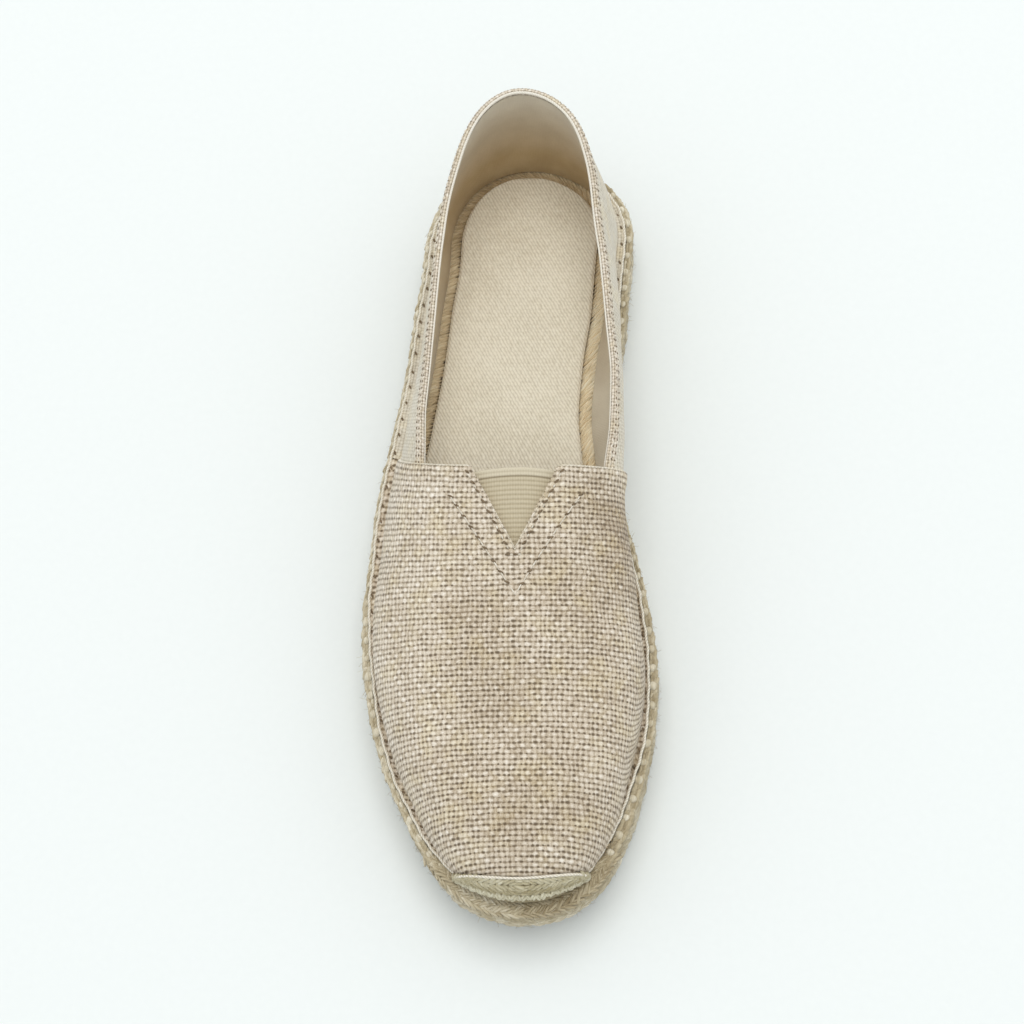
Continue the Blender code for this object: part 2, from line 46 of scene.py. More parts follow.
# Jute sole. A flat jute plait stands on edge and is coiled from the middle outwards. Its outer turn
# shows on the side in three slanting rows, and its loops lie along the top edge like beads.
SOLE_LENGTH = 0.275
BALL_WIDTH = 0.0976
HEEL_WIDTH = 0.0734
SOLE_THICKNESS = 0.020
TOE_SPRING = 0.005
ARCH_LIFT = 0.0015
LOOP_PITCH = 0.0064
LATERAL, MEDIAL = -1.0, 1.0
SIDE_NAME = {LATERAL: "lateral", MEDIAL: "medial"}


def table(columns, *rows):
    """Turns rows into one array for each named column."""
    return {name: np.array([row[i] for row in rows]) for i, name in enumerate(columns.split())}


# Half widths of the sole as shares of the local width, before the ends are rounded off
SOLE_PLAN = table(
    "along lateral medial",
    (0.00, 0.555, 0.525),
    (0.10, 0.526, 0.480),
    (0.18, 0.539, 0.462),
    (0.28, 0.551, 0.451),
    (0.36, 0.554, 0.423),
    (0.44, 0.538, 0.380),
    (0.52, 0.534, 0.346),
    (0.60, 0.520, 0.347),
    (0.68, 0.518, 0.388),
    (0.76, 0.520, 0.458),
    (0.84, 0.498, 0.500),
    (0.92, 0.490, 0.530),
    (1.00, 0.500, 0.540),
)
TOE_ROUND, TOE_POWERS = 0.33, (1.75, 2.2)
HEEL_ROUND, OVAL = 0.14, (2.0, 2.0)
SPRING_REACH = 0.19
ARCH_FRONT, ARCH_END = 0.47, 0.70
WAIST_START, WAIST_RUN = 0.40, 0.45
EDGE_STEPS = 721


def read(values, name, along):
    """Values of a table's column between its rows, on a smooth curve that never overshoots."""
    x, v = values["along"], values[name]
    slope = np.diff(v) / np.diff(x)
    tangent = np.concatenate((slope[:1], np.zeros(len(x) - 2), slope[-1:]))
    for k in range(1, len(x) - 1):
        if slope[k - 1] * slope[k] > 0:
            tangent[k] = 2.0 / (1.0 / slope[k - 1] + 1.0 / slope[k])
    at = np.clip(along, x[0], x[-1])
    i = np.clip(np.searchsorted(x, at, side="right") - 1, 0, len(x) - 2)
    h = x[i + 1] - x[i]
    t = (at - x[i]) / h
    start = (2 * t ** 3 - 3 * t ** 2 + 1) * v[i] + (t ** 3 - 2 * t ** 2 + t) * h * tangent[i]
    end = (3 * t ** 2 - 2 * t ** 3) * v[i + 1] + (t ** 3 - t ** 2) * h * tangent[i + 1]
    return start + end


def ease(t):
    """Smooth step from 0 to 1."""
    t = np.clip(t, 0.0, 1.0)
    return t * t * (3.0 - 2.0 * t)


def rounded(t, p, q):
    """Rises from 0 to 1 like the end of an oval."""
    return (1.0 - (1.0 - np.clip(t, 0.0, 1.0)) ** p) ** (1.0 / q)


def unit(vectors):
    """Vectors of length one."""
    return vectors / np.maximum(np.linalg.norm(vectors, axis=-1, keepdims=True), 1e-12)


def sole_half_width(side, y):
    """Distance from the toe-heel axis to the sole's edge."""
    along = y / SOLE_LENGTH
    local = BALL_WIDTH + (HEEL_WIDTH - BALL_WIDTH) * ease((along - WAIST_START) / WAIST_RUN)
    ends = rounded(along / TOE_ROUND, *TOE_POWERS) * rounded((1.0 - along) / HEEL_ROUND, *OVAL)
    return local * ends * read(SOLE_PLAN, SIDE_NAME[side], along)


def sole_bottom(y):
    """Height of the underside: level under ball and heel, sprung at the toe, lifted at the arch."""
    along = y / SOLE_LENGTH
    spring = TOE_SPRING * np.maximum(0.0, 1.0 - along / SPRING_REACH) ** 2
    inside = np.clip((along - ARCH_FRONT) / (ARCH_END - ARCH_FRONT), 0.0, 1.0)
    return spring + ARCH_LIFT * np.sin(np.pi * inside) ** 2


def sole_top(y):
    """Height of the face that the foot stands on."""
    return sole_bottom(y) + SOLE_THICKNESS


EDGES = {}


def edge_line(side, inset):
    """The sole's edge on one side from toe tip to heel, moved inwards by an inset."""
    if (side, inset) not in EDGES:
        ys = SOLE_LENGTH * (1.0 - np.cos(np.linspace(0.0, np.pi, EDGE_STEPS))) / 2.0
        edge = np.stack((side * sole_half_width(side, ys), ys), axis=1)
        tangent = np.gradient(edge, axis=0)
        tangent[0] = (side, 0.0)
        tangent[-1] = (-side, 0.0)
        tangent = unit(tangent)
        inwards = np.stack((-side * tangent[:, 1], side * tangent[:, 0]), axis=1)
        EDGES[(side, inset)] = edge + inwards * inset
    return EDGES[(side, inset)]


def edge_x(side, inset, y):
    """x of the inset edge at a distance from the toe tip."""
    line = edge_line(side, inset)
    return np.interp(y, line[:, 1], line[:, 0])


# Seam between linen and jute: its distance from the sole's edge in millimetres
SEAM = table(
    "along lateral medial",
    (0.000, 4.9, 4.9),
    (0.050, 4.6, 4.9),
    (0.090, 3.5, 4.8),
    (0.125, 3.1, 4.5),
    (0.155, 2.8, 4.0),
    (0.180, 3.0, 3.4),
    (0.210, 3.0, 3.0),
    (0.265, 3.7, 3.5),
    (0.300, 3.9, 3.6),
    (0.330, 3.4, 3.2),
    (0.365, 2.9, 3.0),
    (0.400, 2.3, 2.5),
    (0.460, 1.8, 2.6),
    (0.550, 1.7, 3.0),
    (0.700, 2.0, 3.2),
    (0.850, 2.4, 3.3),
    (1.000, 3.4, 3.4),
)


def seam_inset(side, y):
    """Distance of the seam from the sole's edge."""
    return read(SEAM, SIDE_NAME[side], y / SOLE_LENGTH) / 1000.0


def seam_line(factor, more=0.0):
    """Closed line at a share of the seam's distance from the edge: toe, medial side, heel, lateral side."""
    halves = []
    for side in (MEDIAL, LATERAL):
        rim, inner = edge_line(side, 0.0), edge_line(side, 0.001)
        inset = seam_inset(side, rim[:, 1]) * factor + more
        halves.append(rim + (inner - rim) * (inset[:, None] / 0.001))
    return np.concatenate((halves[0], halves[1][-2:0:-1]))


MIDDLE_X = -(edge_line(LATERAL, 0.0)[:, 0].min() + edge_line(MEDIAL, 0.0)[:, 0].max()) / 2.0
SHIFT = np.array((MIDDLE_X, -SOLE_LENGTH / 2.0, 0.0))


def around(inset):
    """Closed line round the sole: toe tip, medial side, heel, lateral side."""
    return np.concatenate((edge_line(MEDIAL, inset), edge_line(LATERAL, inset)[-2:0:-1]))


def distance(points):
    """Distance run along a line of points, from its start."""
    return np.concatenate(([0.0], np.cumsum(np.linalg.norm(np.diff(points, axis=0), axis=1))))


def girth(line):
    """Length of a closed line."""
    return distance(np.vstack((line, line[:1])))[-1]


def spots(points, run, at):
    """Places at distances along a line of points whose own distances are given as run."""
    return np.stack([np.interp(at, run, points[:, k]) for k in range(points.shape[1])], axis=1)


AHEAD = 0.001


def spaced(line, count, phase=0.0):
    """Places at equal steps round a closed line, with the direction of travel at each."""
    closed = np.vstack((line, line[:1]))
    run = distance(closed)
    at = (np.arange(count) + phase) / count * run[-1]
    places = spots(closed, run, at % run[-1])
    return places, unit(spots(closed, run, (at + AHEAD) % run[-1]) - places)


def upright(flat, z=0.0):
    """Adds a height to points or directions in plan."""
    return np.column_stack((flat, np.broadcast_to(z, len(flat))))


def outwards(travel):
    """Direction away from the sole, square to the direction of travel."""
    return np.stack((travel[:, 1], -travel[:, 0]), axis=1)


def write(mesh, name, kind, values):
    """Stores values on the points of a mesh."""
    field = mesh.attributes.new(name, kind, "POINT")
    key = "vector" if kind == "FLOAT_VECTOR" else "value"
    field.data.foreach_set(key, np.ascontiguousarray(values, dtype=np.float32).ravel())


def leaf_shape(segments, rings):
    """Points and faces of a leaf one unit long each way, its poles at the ends of X."""
    bpy.ops.mesh.primitive_uv_sphere_add(segments=segments, ring_count=rings, radius=1.0)
    ball = bpy.context.object
    points = np.array([vertex.co for vertex in ball.data.vertices])[:, [2, 0, 1]]
    faces = [tuple(face.vertices) for face in ball.data.polygons]
    bpy.data.meshes.remove(ball.data)
    return points, faces


def blunt(shape, power):
    """The same leaf with fuller ends."""
    points, faces = shape
    thick = np.hypot(points[:, 1], points[:, 2])
    fuller = np.where(thick > 1e-6, np.maximum(thick, 1e-6) ** (power - 1.0), 0.0)
    return points * np.column_stack((np.ones(len(points)), fuller, fuller)), faces


LEAF = leaf_shape(10, 7)
PLY_LEAF = blunt(leaf_shape(6, 7), 0.6)
BEAD_LEAF = blunt(leaf_shape(8, 6), 0.55)
SMALL_LEAF = leaf_shape(6, 4)
HAIR_LEAF = leaf_shape(3, 4)
chance = np.random.default_rng(11)
# Yarns of a strand: how far they slip along it and fall to its sides, and their shares of its size
YARN_SLIP = 0.3
YARN_FALL = 0.35
YARN_SHARES = (0.9, 1.3, 0.85)


def plies(places, length, across, out, size, count, loose=0.22):
    """Splits every strand into thin yarns that lie side by side over its crown."""
    many = len(places)
    size = np.broadcast_to(np.asarray(size, dtype=float), (many, 3))
    parts = []
    for k in range(count):
        side = (2.0 * k - (count - 1)) / max(1, count - 1)
        own = unit(length + across * (loose * (chance.random((many, 1)) - 0.5)))
        slip = size[:, :1] * YARN_SLIP * (chance.random((many, 1)) - 0.5)
        shift = across * (side * (1.0 - 1.0 / count)) * size[:, 1:2]
        shift = shift - out * (YARN_FALL * side ** 2) * size[:, 2:3]
        long, wide, high = YARN_SHARES
        thin = size * (long, wide / count, high) * (0.85 + 0.3 * chance.random((many, 1)))
        parts.append((places + shift + own * slip, own, across, out, thin))
    return [np.concatenate(group) for group in zip(*parts)]


def strands(name, places, length, across, out, size, dive=0.5, shape=LEAF, tone=None):
    """One mesh of many leaves: each lies along its own length, its crown turned out."""
    points, faces = shape
    count = len(places)
    size = np.broadcast_to(np.asarray(size, dtype=float), (count, 3))
    tx, ty, tz = points.T
    sunk = tz - dive * tx ** 2
    body = places[:, None, :] + length[:, None, :] * (tx[None, :, None] * size[:, 0, None, None])
    body = body + across[:, None, :] * (ty[None, :, None] * size[:, 1, None, None])
    body = body + out[:, None, :] * (sunk[None, :, None] * size[:, 2, None, None])
    mesh = bpy.data.meshes.new(name)
    steps = np.arange(count) * len(points)
    mesh.from_pydata((body.reshape(-1, 3) + SHIFT).tolist(), [],
                     [tuple(c + step for c in face) for step in steps.tolist() for face in faces])
    around_leaf = np.arctan2(ty, tz)
    lay = np.stack((tx[None, :] * size[:, :1], around_leaf[None, :] * size[:, 1:2],
                    np.broadcast_to(np.arange(count)[:, None] * 0.37, (count, len(points)))), axis=-1)
    write(mesh, "lay", "FLOAT_VECTOR", lay)
    tone = chance.random(count) if tone is None else tone
    write(mesh, "tone", "FLOAT", np.repeat(tone, len(points)))
    write(mesh, "depth", "FLOAT", np.tile((sunk + 1.0 + dive) / (2.0 + dive), count))
    mesh.shade_smooth()
    item = bpy.data.objects.new(name, mesh)
    bpy.context.scene.collection.objects.link(item)
    return item


def join(name, pieces):
    """Joins meshes into one named piece."""
    bpy.ops.object.select_all(action="DESELECT")
    for piece in pieces:
        piece.select_set(True)
    bpy.context.view_layer.objects.active = pieces[0]
    bpy.ops.object.join()
    pieces[0].name = pieces[0].data.name = name
    bpy.ops.object.select_all(action="DESELECT")
    return pieces[0]


def slanted(travel, out, angle):
    """Length and breadth of strands that lean from the direction of travel towards another."""
    length = travel * np.cos(angle) + out * np.sin(angle)
    return length, out * np.cos(angle) - travel * np.sin(angle)


def jitter(count, share):
    """Random factors round one."""
    return 1.0 + share * (chance.random(count) * 2.0 - 1.0)


# Rows of the outer turn: height as a share of the thickness, lean of the strands, phase in loops, shade
SIDE_ROWS = ((0.80, 33.0, 0.0, 0.45), (0.50, -33.0, 0.25, 0.40), (0.21, 30.0, 0.5, 0.75))
SIDE_INSET = 0.0019
SIDE_STRAND = (0.0040, 0.0017, 0.0017)
SIDE_SHADE_RANGE = 0.55
# Rows of the top edge: share of the way to the seam, strands for each loop, half length, share of the
# room, height, lean, sink, yarns, darkest and palest, where they start from the toe tip, and their leaf
RIM_ROWS = (
    (0.56, 4, 0.0020, 0.37, 0.0011, 15.0, 0.0007, 2, (0.05, 0.55), 0.016, PLY_LEAF),
    (0.62, 1, 0.0017, 0.25, 0.0013, 10.0, 0.0003, 1, (0.75, 1.05), 0.020, BEAD_LEAF),
)
RIM_PHASE = 0.3
# Strands round the toe: inset, lean, sink and phase in loops
TOE_WRAPS = (
    (0.0010, 22.0, 0.0014, 0.240),
    (0.0024, -34.0, 0.0006, 0.366),
    (0.0038, 34.0, 0.0003, 0.492),
    (0.0052, -30.0, 0.0002, 0.618),
)
TOE_WRAP_END = 0.020
TOE_STRAND = (0.0029, 0.0008, 0.0011)
TOE_SHADES = (-0.1, 0.5)
LATERAL_PALER = 0.35
INNER_INSETS = (0.0100, 0.0076)
INNER_STRAND = (0.0050, 0.0021, 0.0013)
INNER_SINK = 0.0010
INNER_LEAN = {LATERAL: 62.0, MEDIAL: 40.0}
INNER_SHADE = {LATERAL: 0.32, MEDIAL: 0.77}
# Painted shade: how much darker the inner turn is made towards the heel, where the back wall shades it.
INNER_HEEL_PAINTED_SHADE = 0.70
INNER_HEEL_START = 0.225
INNER_SHADE_RANGE = 0.3
UNDER_TURNS = 8
UNDER_MIDDLE = 0.8
UNDER_LEAN = 20.0
UNDER_STRAND = (0.0030, 0.0019, 0.0013)
HAIRS = 900
HAIR = (0.0016, 0.00005, 0.00005)

edge = around(SIDE_INSET)
LOOPS = round(girth(edge) / LOOP_PITCH)
UP = np.array((0.0, 0.0, 1.0))
sole_parts = []
for share, lean, phase, shade in SIDE_ROWS:
    flat, travel = spaced(edge, LOOPS * 2, phase)
    count = len(flat)
    angles = np.radians(lean) * jitter(count, 0.15)[:, None]
    travel = upright(travel)
    out = np.cross(travel, UP)
    length, across = slanted(travel, UP, angles)
    places = upright(flat, sole_bottom(flat[:, 1]) + share * SOLE_THICKNESS)
    size = np.array(SIDE_STRAND) * jitter(count, 0.1)[:, None]
    bundles = plies(places, length, across, out, size, 3)
    tone = np.clip(shade + SIDE_SHADE_RANGE * (chance.random(len(bundles[0])) - 0.5), 0.0, 1.0)
    sole_parts.append(strands("row", *bundles, shape=PLY_LEAF, tone=tone))
sole_plait = join("sole_plait", sole_parts)


def along_top(flat, travel, reach, lean, size, sink, count, shape, tones, spread=0.4):
    """Strands on the sole's top edge between two distances from the toe tip, leaning out."""
    inside = (flat[:, 1] >= reach[0]) & (flat[:, 1] < reach[1])
    flat, travel, size = flat[inside], upright(travel[inside]), size[inside]
    leans = np.radians(lean) * jitter(len(flat), spread)[:, None]
    length, across = slanted(travel, np.cross(travel, UP), leans)
    places = upright(flat, sole_top(flat[:, 1]) - sink)
    size = size * jitter(len(flat), 0.15)[:, None]
    parts = plies(places, length, across, np.tile(UP, (len(flat), 1)), size, count)
    low, high = tones
    tone = low + (high - low) * chance.random(len(parts[0])) + LATERAL_PALER * (parts[0][:, 0] < 0.0)
    return strands("rim", *parts, dive=0.7, shape=shape, tone=np.clip(tone, 0.0, 1.0))


# Top edge: a fine tan roll, a pale loop where each strand of the plait turns, and the strands that
# close the coil round the toe
rim_parts = []
for factor, each, long, wide, high, lean, sink, yarns, shades, first, leaf in RIM_ROWS:
    flat, travel = spaced(seam_line(factor), LOOPS * each, RIM_PHASE)
    room = np.where(flat[:, 0] < 0.0, seam_inset(LATERAL, flat[:, 1]), seam_inset(MEDIAL, flat[:, 1]))
    size = np.column_stack((np.full(len(flat), long), room * wide, np.full(len(flat), high)))
    rim_parts.append(along_top(flat, travel, (first, 1.0), lean, size, sink, yarns, leaf, shades))
for inset, lean, sink, phase in TOE_WRAPS:
    flat, travel = spaced(around(inset), LOOPS * 3, phase)
    size = np.tile(TOE_STRAND, (len(flat), 1))
    rim_parts.append(along_top(flat, travel, (-1.0, TOE_WRAP_END), lean, size, sink, 2, PLY_LEAF,
                               TOE_SHADES, 0.2))
sole_rim = join("sole_rim", rim_parts)

# Loose hairs of the jute along the edge
flat, travel = spaced(around(0.0006), HAIRS, 0.0)
travel = upright(travel)
toward = unit(np.cross(travel, UP) * 0.5 + travel * chance.normal(0.0, 1.0, (HAIRS, 1))
              + UP * chance.normal(0.1, 0.5, (HAIRS, 1)))
aside = unit(np.cross(toward, UP))
places = upright(flat, sole_bottom(flat[:, 1]) + SOLE_THICKNESS * chance.uniform(0.15, 1.02, HAIRS))
size = np.array(HAIR) * jitter(HAIRS, 0.6)[:, None]
sole_fuzz = strands("sole_fuzz", places, toward, aside, np.cross(aside, toward), size, 2.0, HAIR_LEAF,
                    0.5 + 0.5 * chance.random(HAIRS))

# Turn of the plait that shows inside the shoe, round the sock, in two overlapping rows
inner_parts = []
for inset in INNER_INSETS:
    inner = around(inset)
    count = round(girth(inner) / LOOP_PITCH * 2.0)
    flat, travel = spaced(inner, count)
    travel = upright(travel)
    out = np.cross(travel, UP)
    medial_share = ease((flat[:, 0] + 0.012) / 0.024)
    heel_share = ease((flat[:, 1] - INNER_HEEL_START) / 0.030)
    leans = INNER_LEAN[LATERAL] + (INNER_LEAN[MEDIAL] - INNER_LEAN[LATERAL]) * medial_share
    leans = (np.radians(leans) * jitter(count, 0.08))[:, None]
    length, across = slanted(travel, out, leans)
    places = upright(flat, sole_top(flat[:, 1]) - INNER_SINK)
    size = np.array(INNER_STRAND) * jitter(count, 0.12)[:, None]
    bundles = plies(places, length, across, np.tile(UP, (count, 1)), size, 4, 0.10)
    tone = INNER_SHADE[LATERAL] + (INNER_SHADE[MEDIAL] - INNER_SHADE[LATERAL]) * medial_share
    # Painted shade towards the heel.
    tone = np.tile(tone - INNER_HEEL_PAINTED_SHADE * heel_share, 4)
    tone = tone + INNER_SHADE_RANGE * (chance.random(len(bundles[0])) - 0.5)
    inner_parts.append(strands("inner", *bundles, dive=0.4, shape=PLY_LEAF, tone=np.clip(tone, -0.6, 1.0)))
inner_plait = join("inner_plait", inner_parts)


def coil_turn(share):
    """Closed line of one turn of the coil, a share of the way in to the middle."""
    line = around(0.0)
    middle = np.array((0.0, SOLE_LENGTH / 2.0))
    reach = 1.0 - share * HEEL_WIDTH / SOLE_LENGTH
    return middle + (line - middle) * np.array((1.0 - share, reach))


under_parts = []
for turn in range(UNDER_TURNS):
    line = coil_turn((turn + 1.0) / (UNDER_TURNS + UNDER_MIDDLE))
    count = round(girth(line) / LOOP_PITCH)
    flat, travel = spaced(line, count, 0.5 * (turn % 2))
    travel = upright(travel)
    lean = UNDER_LEAN if turn % 2 else -UNDER_LEAN
    length, across = slanted(travel, np.cross(travel, UP), np.radians(lean))
    places = upright(flat, sole_bottom(flat[:, 1]) + UNDER_STRAND[2])
    size = np.array(UNDER_STRAND) * jitter(count, 0.05)[:, None]
    under_parts.append(strands("under", places, length, across, np.tile(-UP, (count, 1)), size, dive=0.3))
sole_coil = join("sole_coil", under_parts)


def laid_grid(name, places, lay, tone=None, flip=False):
    """A sheet whose points are a grid of places, with coordinates along its own cloth."""
    rows, columns = places.shape[:2]
    bpy.ops.mesh.primitive_grid_add(x_subdivisions=columns - 1, y_subdivisions=rows - 1, size=1.0)
    sheet = bpy.context.object
    sheet.name = sheet.data.name = name
    sheet.data.vertices.foreach_set("co", (places + SHIFT).astype(np.float32).ravel())
    if lay.shape[-1] == 2:
        lay = np.concatenate((lay, np.zeros((rows, columns, 1))), axis=-1)
    write(sheet.data, "lay", "FLOAT_VECTOR", lay)
    if tone is not None:
        write(sheet.data, "tone", "FLOAT", tone)
    if flip:
        sheet.data.flip_normals()
    sheet.data.shade_smooth()
    sheet.data.update()
    sheet.select_set(False)
    return sheet


def cut_away(sheet, gone):
    """Deletes the marked faces of a sheet."""
    sheet.select_set(True)
    bpy.context.view_layer.objects.active = sheet
    bpy.context.tool_settings.mesh_select_mode = (False, False, True)
    sheet.data.polygons.foreach_set("select", gone.ravel())
    bpy.ops.object.mode_set(mode="EDIT")
    bpy.ops.mesh.delete(type="FACE")
    bpy.ops.object.mode_set(mode="OBJECT")
    sheet.select_set(False)


def close_seams(sheet):
    """Merges the points of a sheet that coincide and turns its faces outwards."""
    sheet.select_set(True)
    bpy.context.view_layer.objects.active = sheet
    bpy.ops.object.mode_set(mode="EDIT")
    bpy.ops.mesh.select_all(action="SELECT")
    bpy.ops.mesh.remove_doubles(threshold=0.00001)
    bpy.ops.mesh.normals_make_consistent(inside=False)
    bpy.ops.object.mode_set(mode="OBJECT")
    sheet.select_set(False)


# Inside of the coil, which shows only between the strands and is coloured near black as painted shade:
# inset, share of the thickness
CORE_SIDE = ((0.0025, 0.05), (0.0034, 0.12), (0.0034, 0.5), (0.0034, 0.86), (0.0047, 0.95))
CORE_STATIONS = 110
rings = []
for inset, share in CORE_SIDE:
    for side in (LATERAL, MEDIAL):
        line = edge_line(side, inset)
        ys = np.interp(np.linspace(0, 1, CORE_STATIONS), np.linspace(0, 1, len(line)), line[:, 1])
        xs = np.interp(ys, line[:, 1], line[:, 0])
        xs[[0, -1]] = 0.0
        ring = np.column_stack((xs, ys, sole_bottom(ys) + share * SOLE_THICKNESS))
        rings.append(ring)
lateral, medial = rings[0::2], rings[1::2]
loop = lateral + medial[::-1] + lateral[:1]
places = np.stack(loop, axis=0)
sole_core = laid_grid("sole_core", places, places[:, :, :2])
close_seams(sole_core)


class Maker:
    """Adds nodes to one tree, with numbers or sockets as their inputs."""

    def __init__(self, tree):
        self.tree = tree

    def node(self, kind, inputs=None):
        made = self.tree.nodes.new(kind)
        for name, value in (inputs or {}).items():
            self.join(made.inputs[name], value)
        return made

    def join(self, socket, value):
        if isinstance(value, bpy.types.NodeSocket):
            self.tree.links.new(value, socket)
        else:
            socket.default_value = value

    def math(self, operation, *values):
        made = self.tree.nodes.new("ShaderNodeMath")
        made.operation = operation
        for socket, value in zip(made.inputs, values):
            self.join(socket, value)
        return made.outputs[0]

    def add(self, first, *more):
        for value in more:
            first = self.math("ADD", first, value)
        return first

    def times(self, first, second):
        return self.math("MULTIPLY", first, second)

    def size(self, value):
        return self.math("ABSOLUTE", value)

    def sine(self, value):
        return self.math("SINE", value)

    def less(self, first, second):
        return self.math("SUBTRACT", first, second)

    def split(self, vector):
        made = self.node("ShaderNodeSeparateXYZ", {"Vector": vector})
        return made.outputs["X"], made.outputs["Y"], made.outputs["Z"]

    def combine(self, x, y, z):
        return self.node("ShaderNodeCombineXYZ", {"X": x, "Y": y, "Z": z}).outputs[0]

    def noise(self, vector, scale, detail=2.0, roughness=0.5):
        return self.node("ShaderNodeTexNoise", {"Vector": vector, "Scale": scale, "Detail": detail,
                                                "Roughness": roughness}).outputs["Fac"]

    def fit(self, value, low, high, to_low=0.0, to_high=1.0):
        return self.node("ShaderNodeMapRange", {"Value": value, "From Min": low, "From Max": high,
                                                "To Min": to_low, "To Max": to_high}).outputs["Result"]

    def mix(self, factor, first, second):
        made = self.tree.nodes.new("ShaderNodeMix")
        made.data_type = "RGBA"
        self.join(made.inputs["Factor"], factor)
        for name, value in (("A", first), ("B", second)):
            socket = [s for s in made.inputs if s.name == name and s.type == "RGBA"][0]
            self.join(socket, (*value, 1.0) if isinstance(value, tuple) else value)
        return [s for s in made.outputs if s.type == "RGBA"][0]

    def ramp(self, factor, *stops):
        made = self.tree.nodes.new("ShaderNodeValToRGB")
        self.join(made.inputs["Fac"], factor)
        while len(made.color_ramp.elements) < len(stops):
            made.color_ramp.elements.new(0.5)
        for element, (place, colour) in zip(made.color_ramp.elements, stops):
            element.position = place
            element.color = (*colour, 1.0)
        return made.outputs["Color"]

    def read(self, name):
        made = self.tree.nodes.new("ShaderNodeAttribute")
        made.attribute_name = name
        return made


def group(name, inputs, outputs):
    """An empty node group with named sockets, its Maker and its two ends."""
    tree = bpy.data.node_groups.new(name, "ShaderNodeTree")
    for label, kind, value in inputs:
        socket = tree.interface.new_socket(label, in_out="INPUT", socket_type=kind)
        if value is not None:
            socket.default_value = value
    for label, kind in outputs:
        tree.interface.new_socket(label, in_out="OUTPUT", socket_type=kind)
    return Maker(tree), tree.nodes.new("NodeGroupInput"), tree.nodes.new("NodeGroupOutput")


def material(name, roughness, sheen=0.0):
    """A new material, its Maker and its shader."""
    made = bpy.data.materials.new(name)
    made.use_nodes = True
    shader = made.node_tree.nodes["Principled BSDF"]
    shader.inputs["Roughness"].default_value = roughness
    shader.inputs["Sheen Weight"].default_value = sheen
    shader.inputs["Specular IOR Level"].default_value = 0.25
    return made, Maker(made.node_tree), shader


def bump(maker, shader, height, relief):
    """Joins a height to the shader's normal."""
    made = maker.node("ShaderNodeBump", {"Height": height, "Distance": relief, "Strength": 1.0})
    maker.join(shader.inputs["Normal"], made.outputs["Normal"])


def fibres_group():
    """Fibres along a strand: streaks that run with a slight twist, for colour and for height."""
    maker, start, end = group(
        "fibres",
        (("Lay", "NodeSocketVector", None), ("Width", "NodeSocketFloat", 0.0004),
         ("Twist", "NodeSocketFloat", 0.35)),
        (("Streak", "NodeSocketFloat"), ("Height", "NodeSocketFloat")))
    x, y, z = maker.split(start.outputs["Lay"])
    leaning = maker.add(y, maker.times(x, start.outputs["Twist"]))
    across = maker.math("DIVIDE", leaning, start.outputs["Width"])
    along = maker.times(x, 220.0)
    fine = maker.noise(maker.combine(along, across, z), 1.0, 3.0, 0.6)
    broad = maker.noise(maker.combine(maker.times(along, 0.5), maker.times(across, 0.35), z), 1.0, 1.0)
    both = maker.add(maker.times(fine, 0.65), maker.times(broad, 0.35))
    maker.join(end.inputs["Streak"], maker.fit(both, 0.32, 0.68))
    maker.join(end.inputs["Height"], both)
    return maker.tree


FIBRES = fibres_group()


def use(maker, tree, **inputs):
    """Places a node group in a material."""
    made = maker.tree.nodes.new("ShaderNodeGroup")
    made.node_tree = tree
    for name, value in inputs.items():
        maker.join(made.inputs[name], value)
    return made


def jute(name, dark, middle, light, recess_shade, width=0.00042):
    """Dry jute strands: each its own tone, streaked along its fibres, with painted shade where a strand
    dives under its neighbours.
    """
    made, maker, shader = material(name, 0.9, 0.15)
    fibres = use(maker, FIBRES, Lay=maker.read("lay").outputs["Vector"], Width=width)
    tone = maker.read("tone").outputs["Fac"]
    place = maker.node("ShaderNodeTexCoord").outputs["Object"]
    patch = maker.fit(maker.noise(place, 55.0, 2.0), 0.3, 0.7)
    level = maker.add(maker.times(fibres.outputs["Streak"], 0.40), maker.times(tone, 0.40),
                      maker.times(patch, 0.20))
    colour = maker.ramp(level, (0.1, dark), (0.5, middle), (0.9, light))
    # Painted shade: the dark colour is mixed in where a strand dives below the crowns of the plait.
    recess_shade_share = maker.fit(maker.read("depth").outputs["Fac"], 0.2, 0.72, 1.0, 0.0)
    colour = maker.mix(maker.times(recess_shade_share, 0.85), colour, recess_shade)
    maker.join(shader.inputs["Base Color"], colour)
    bump(maker, shader, fibres.outputs["Height"], 0.0006)
    return made


def dress(piece, finish):
    """Gives a piece its one material."""
    piece.data.materials.clear()
    piece.data.materials.append(finish)


SOLE_JUTE = jute("sole_jute", (0.29, 0.22, 0.12), (0.55, 0.47, 0.32), (0.88, 0.82, 0.68),
                 (0.17, 0.12, 0.06))
INNER_JUTE = jute("inner_jute", (0.50, 0.37, 0.21), (0.83, 0.68, 0.45), (0.98, 0.90, 0.71),
                  (0.30, 0.21, 0.11))
# Near-black jute: painted shade for the coil's inside, which lies in shadow between the strands.
SHADED_CORE_JUTE = jute("shaded_core_jute", (0.10, 0.07, 0.04), (0.18, 0.13, 0.08), (0.30, 0.23, 0.14),
                 (0.08, 0.05, 0.03))
SOLE_PIECES = ((sole_plait, SOLE_JUTE), (sole_rim, SOLE_JUTE), (sole_fuzz, SOLE_JUTE),
               (inner_plait, INNER_JUTE), (sole_coil, SOLE_JUTE), (sole_core, SHADED_CORE_JUTE))
for piece, finish in SOLE_PIECES:
    dress(piece, finish)
    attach(piece, "root")
    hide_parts("sole")

# Sock. A flat twill canvas cut to the foot and laid on the coil, so that jute shows all round it.
INSOLE_INSET_LATERAL = 0.0136
INSOLE_INSET_MEDIAL = 0.0124
INSOLE_INSET_ENDS = 0.0102
INSOLE_TOP = 0.00185
INSOLE_WAVE = 0.00035
SOCK_STATIONS, SOCK_COLUMNS = 150, 60
SOCK_ROUND = 0.0006


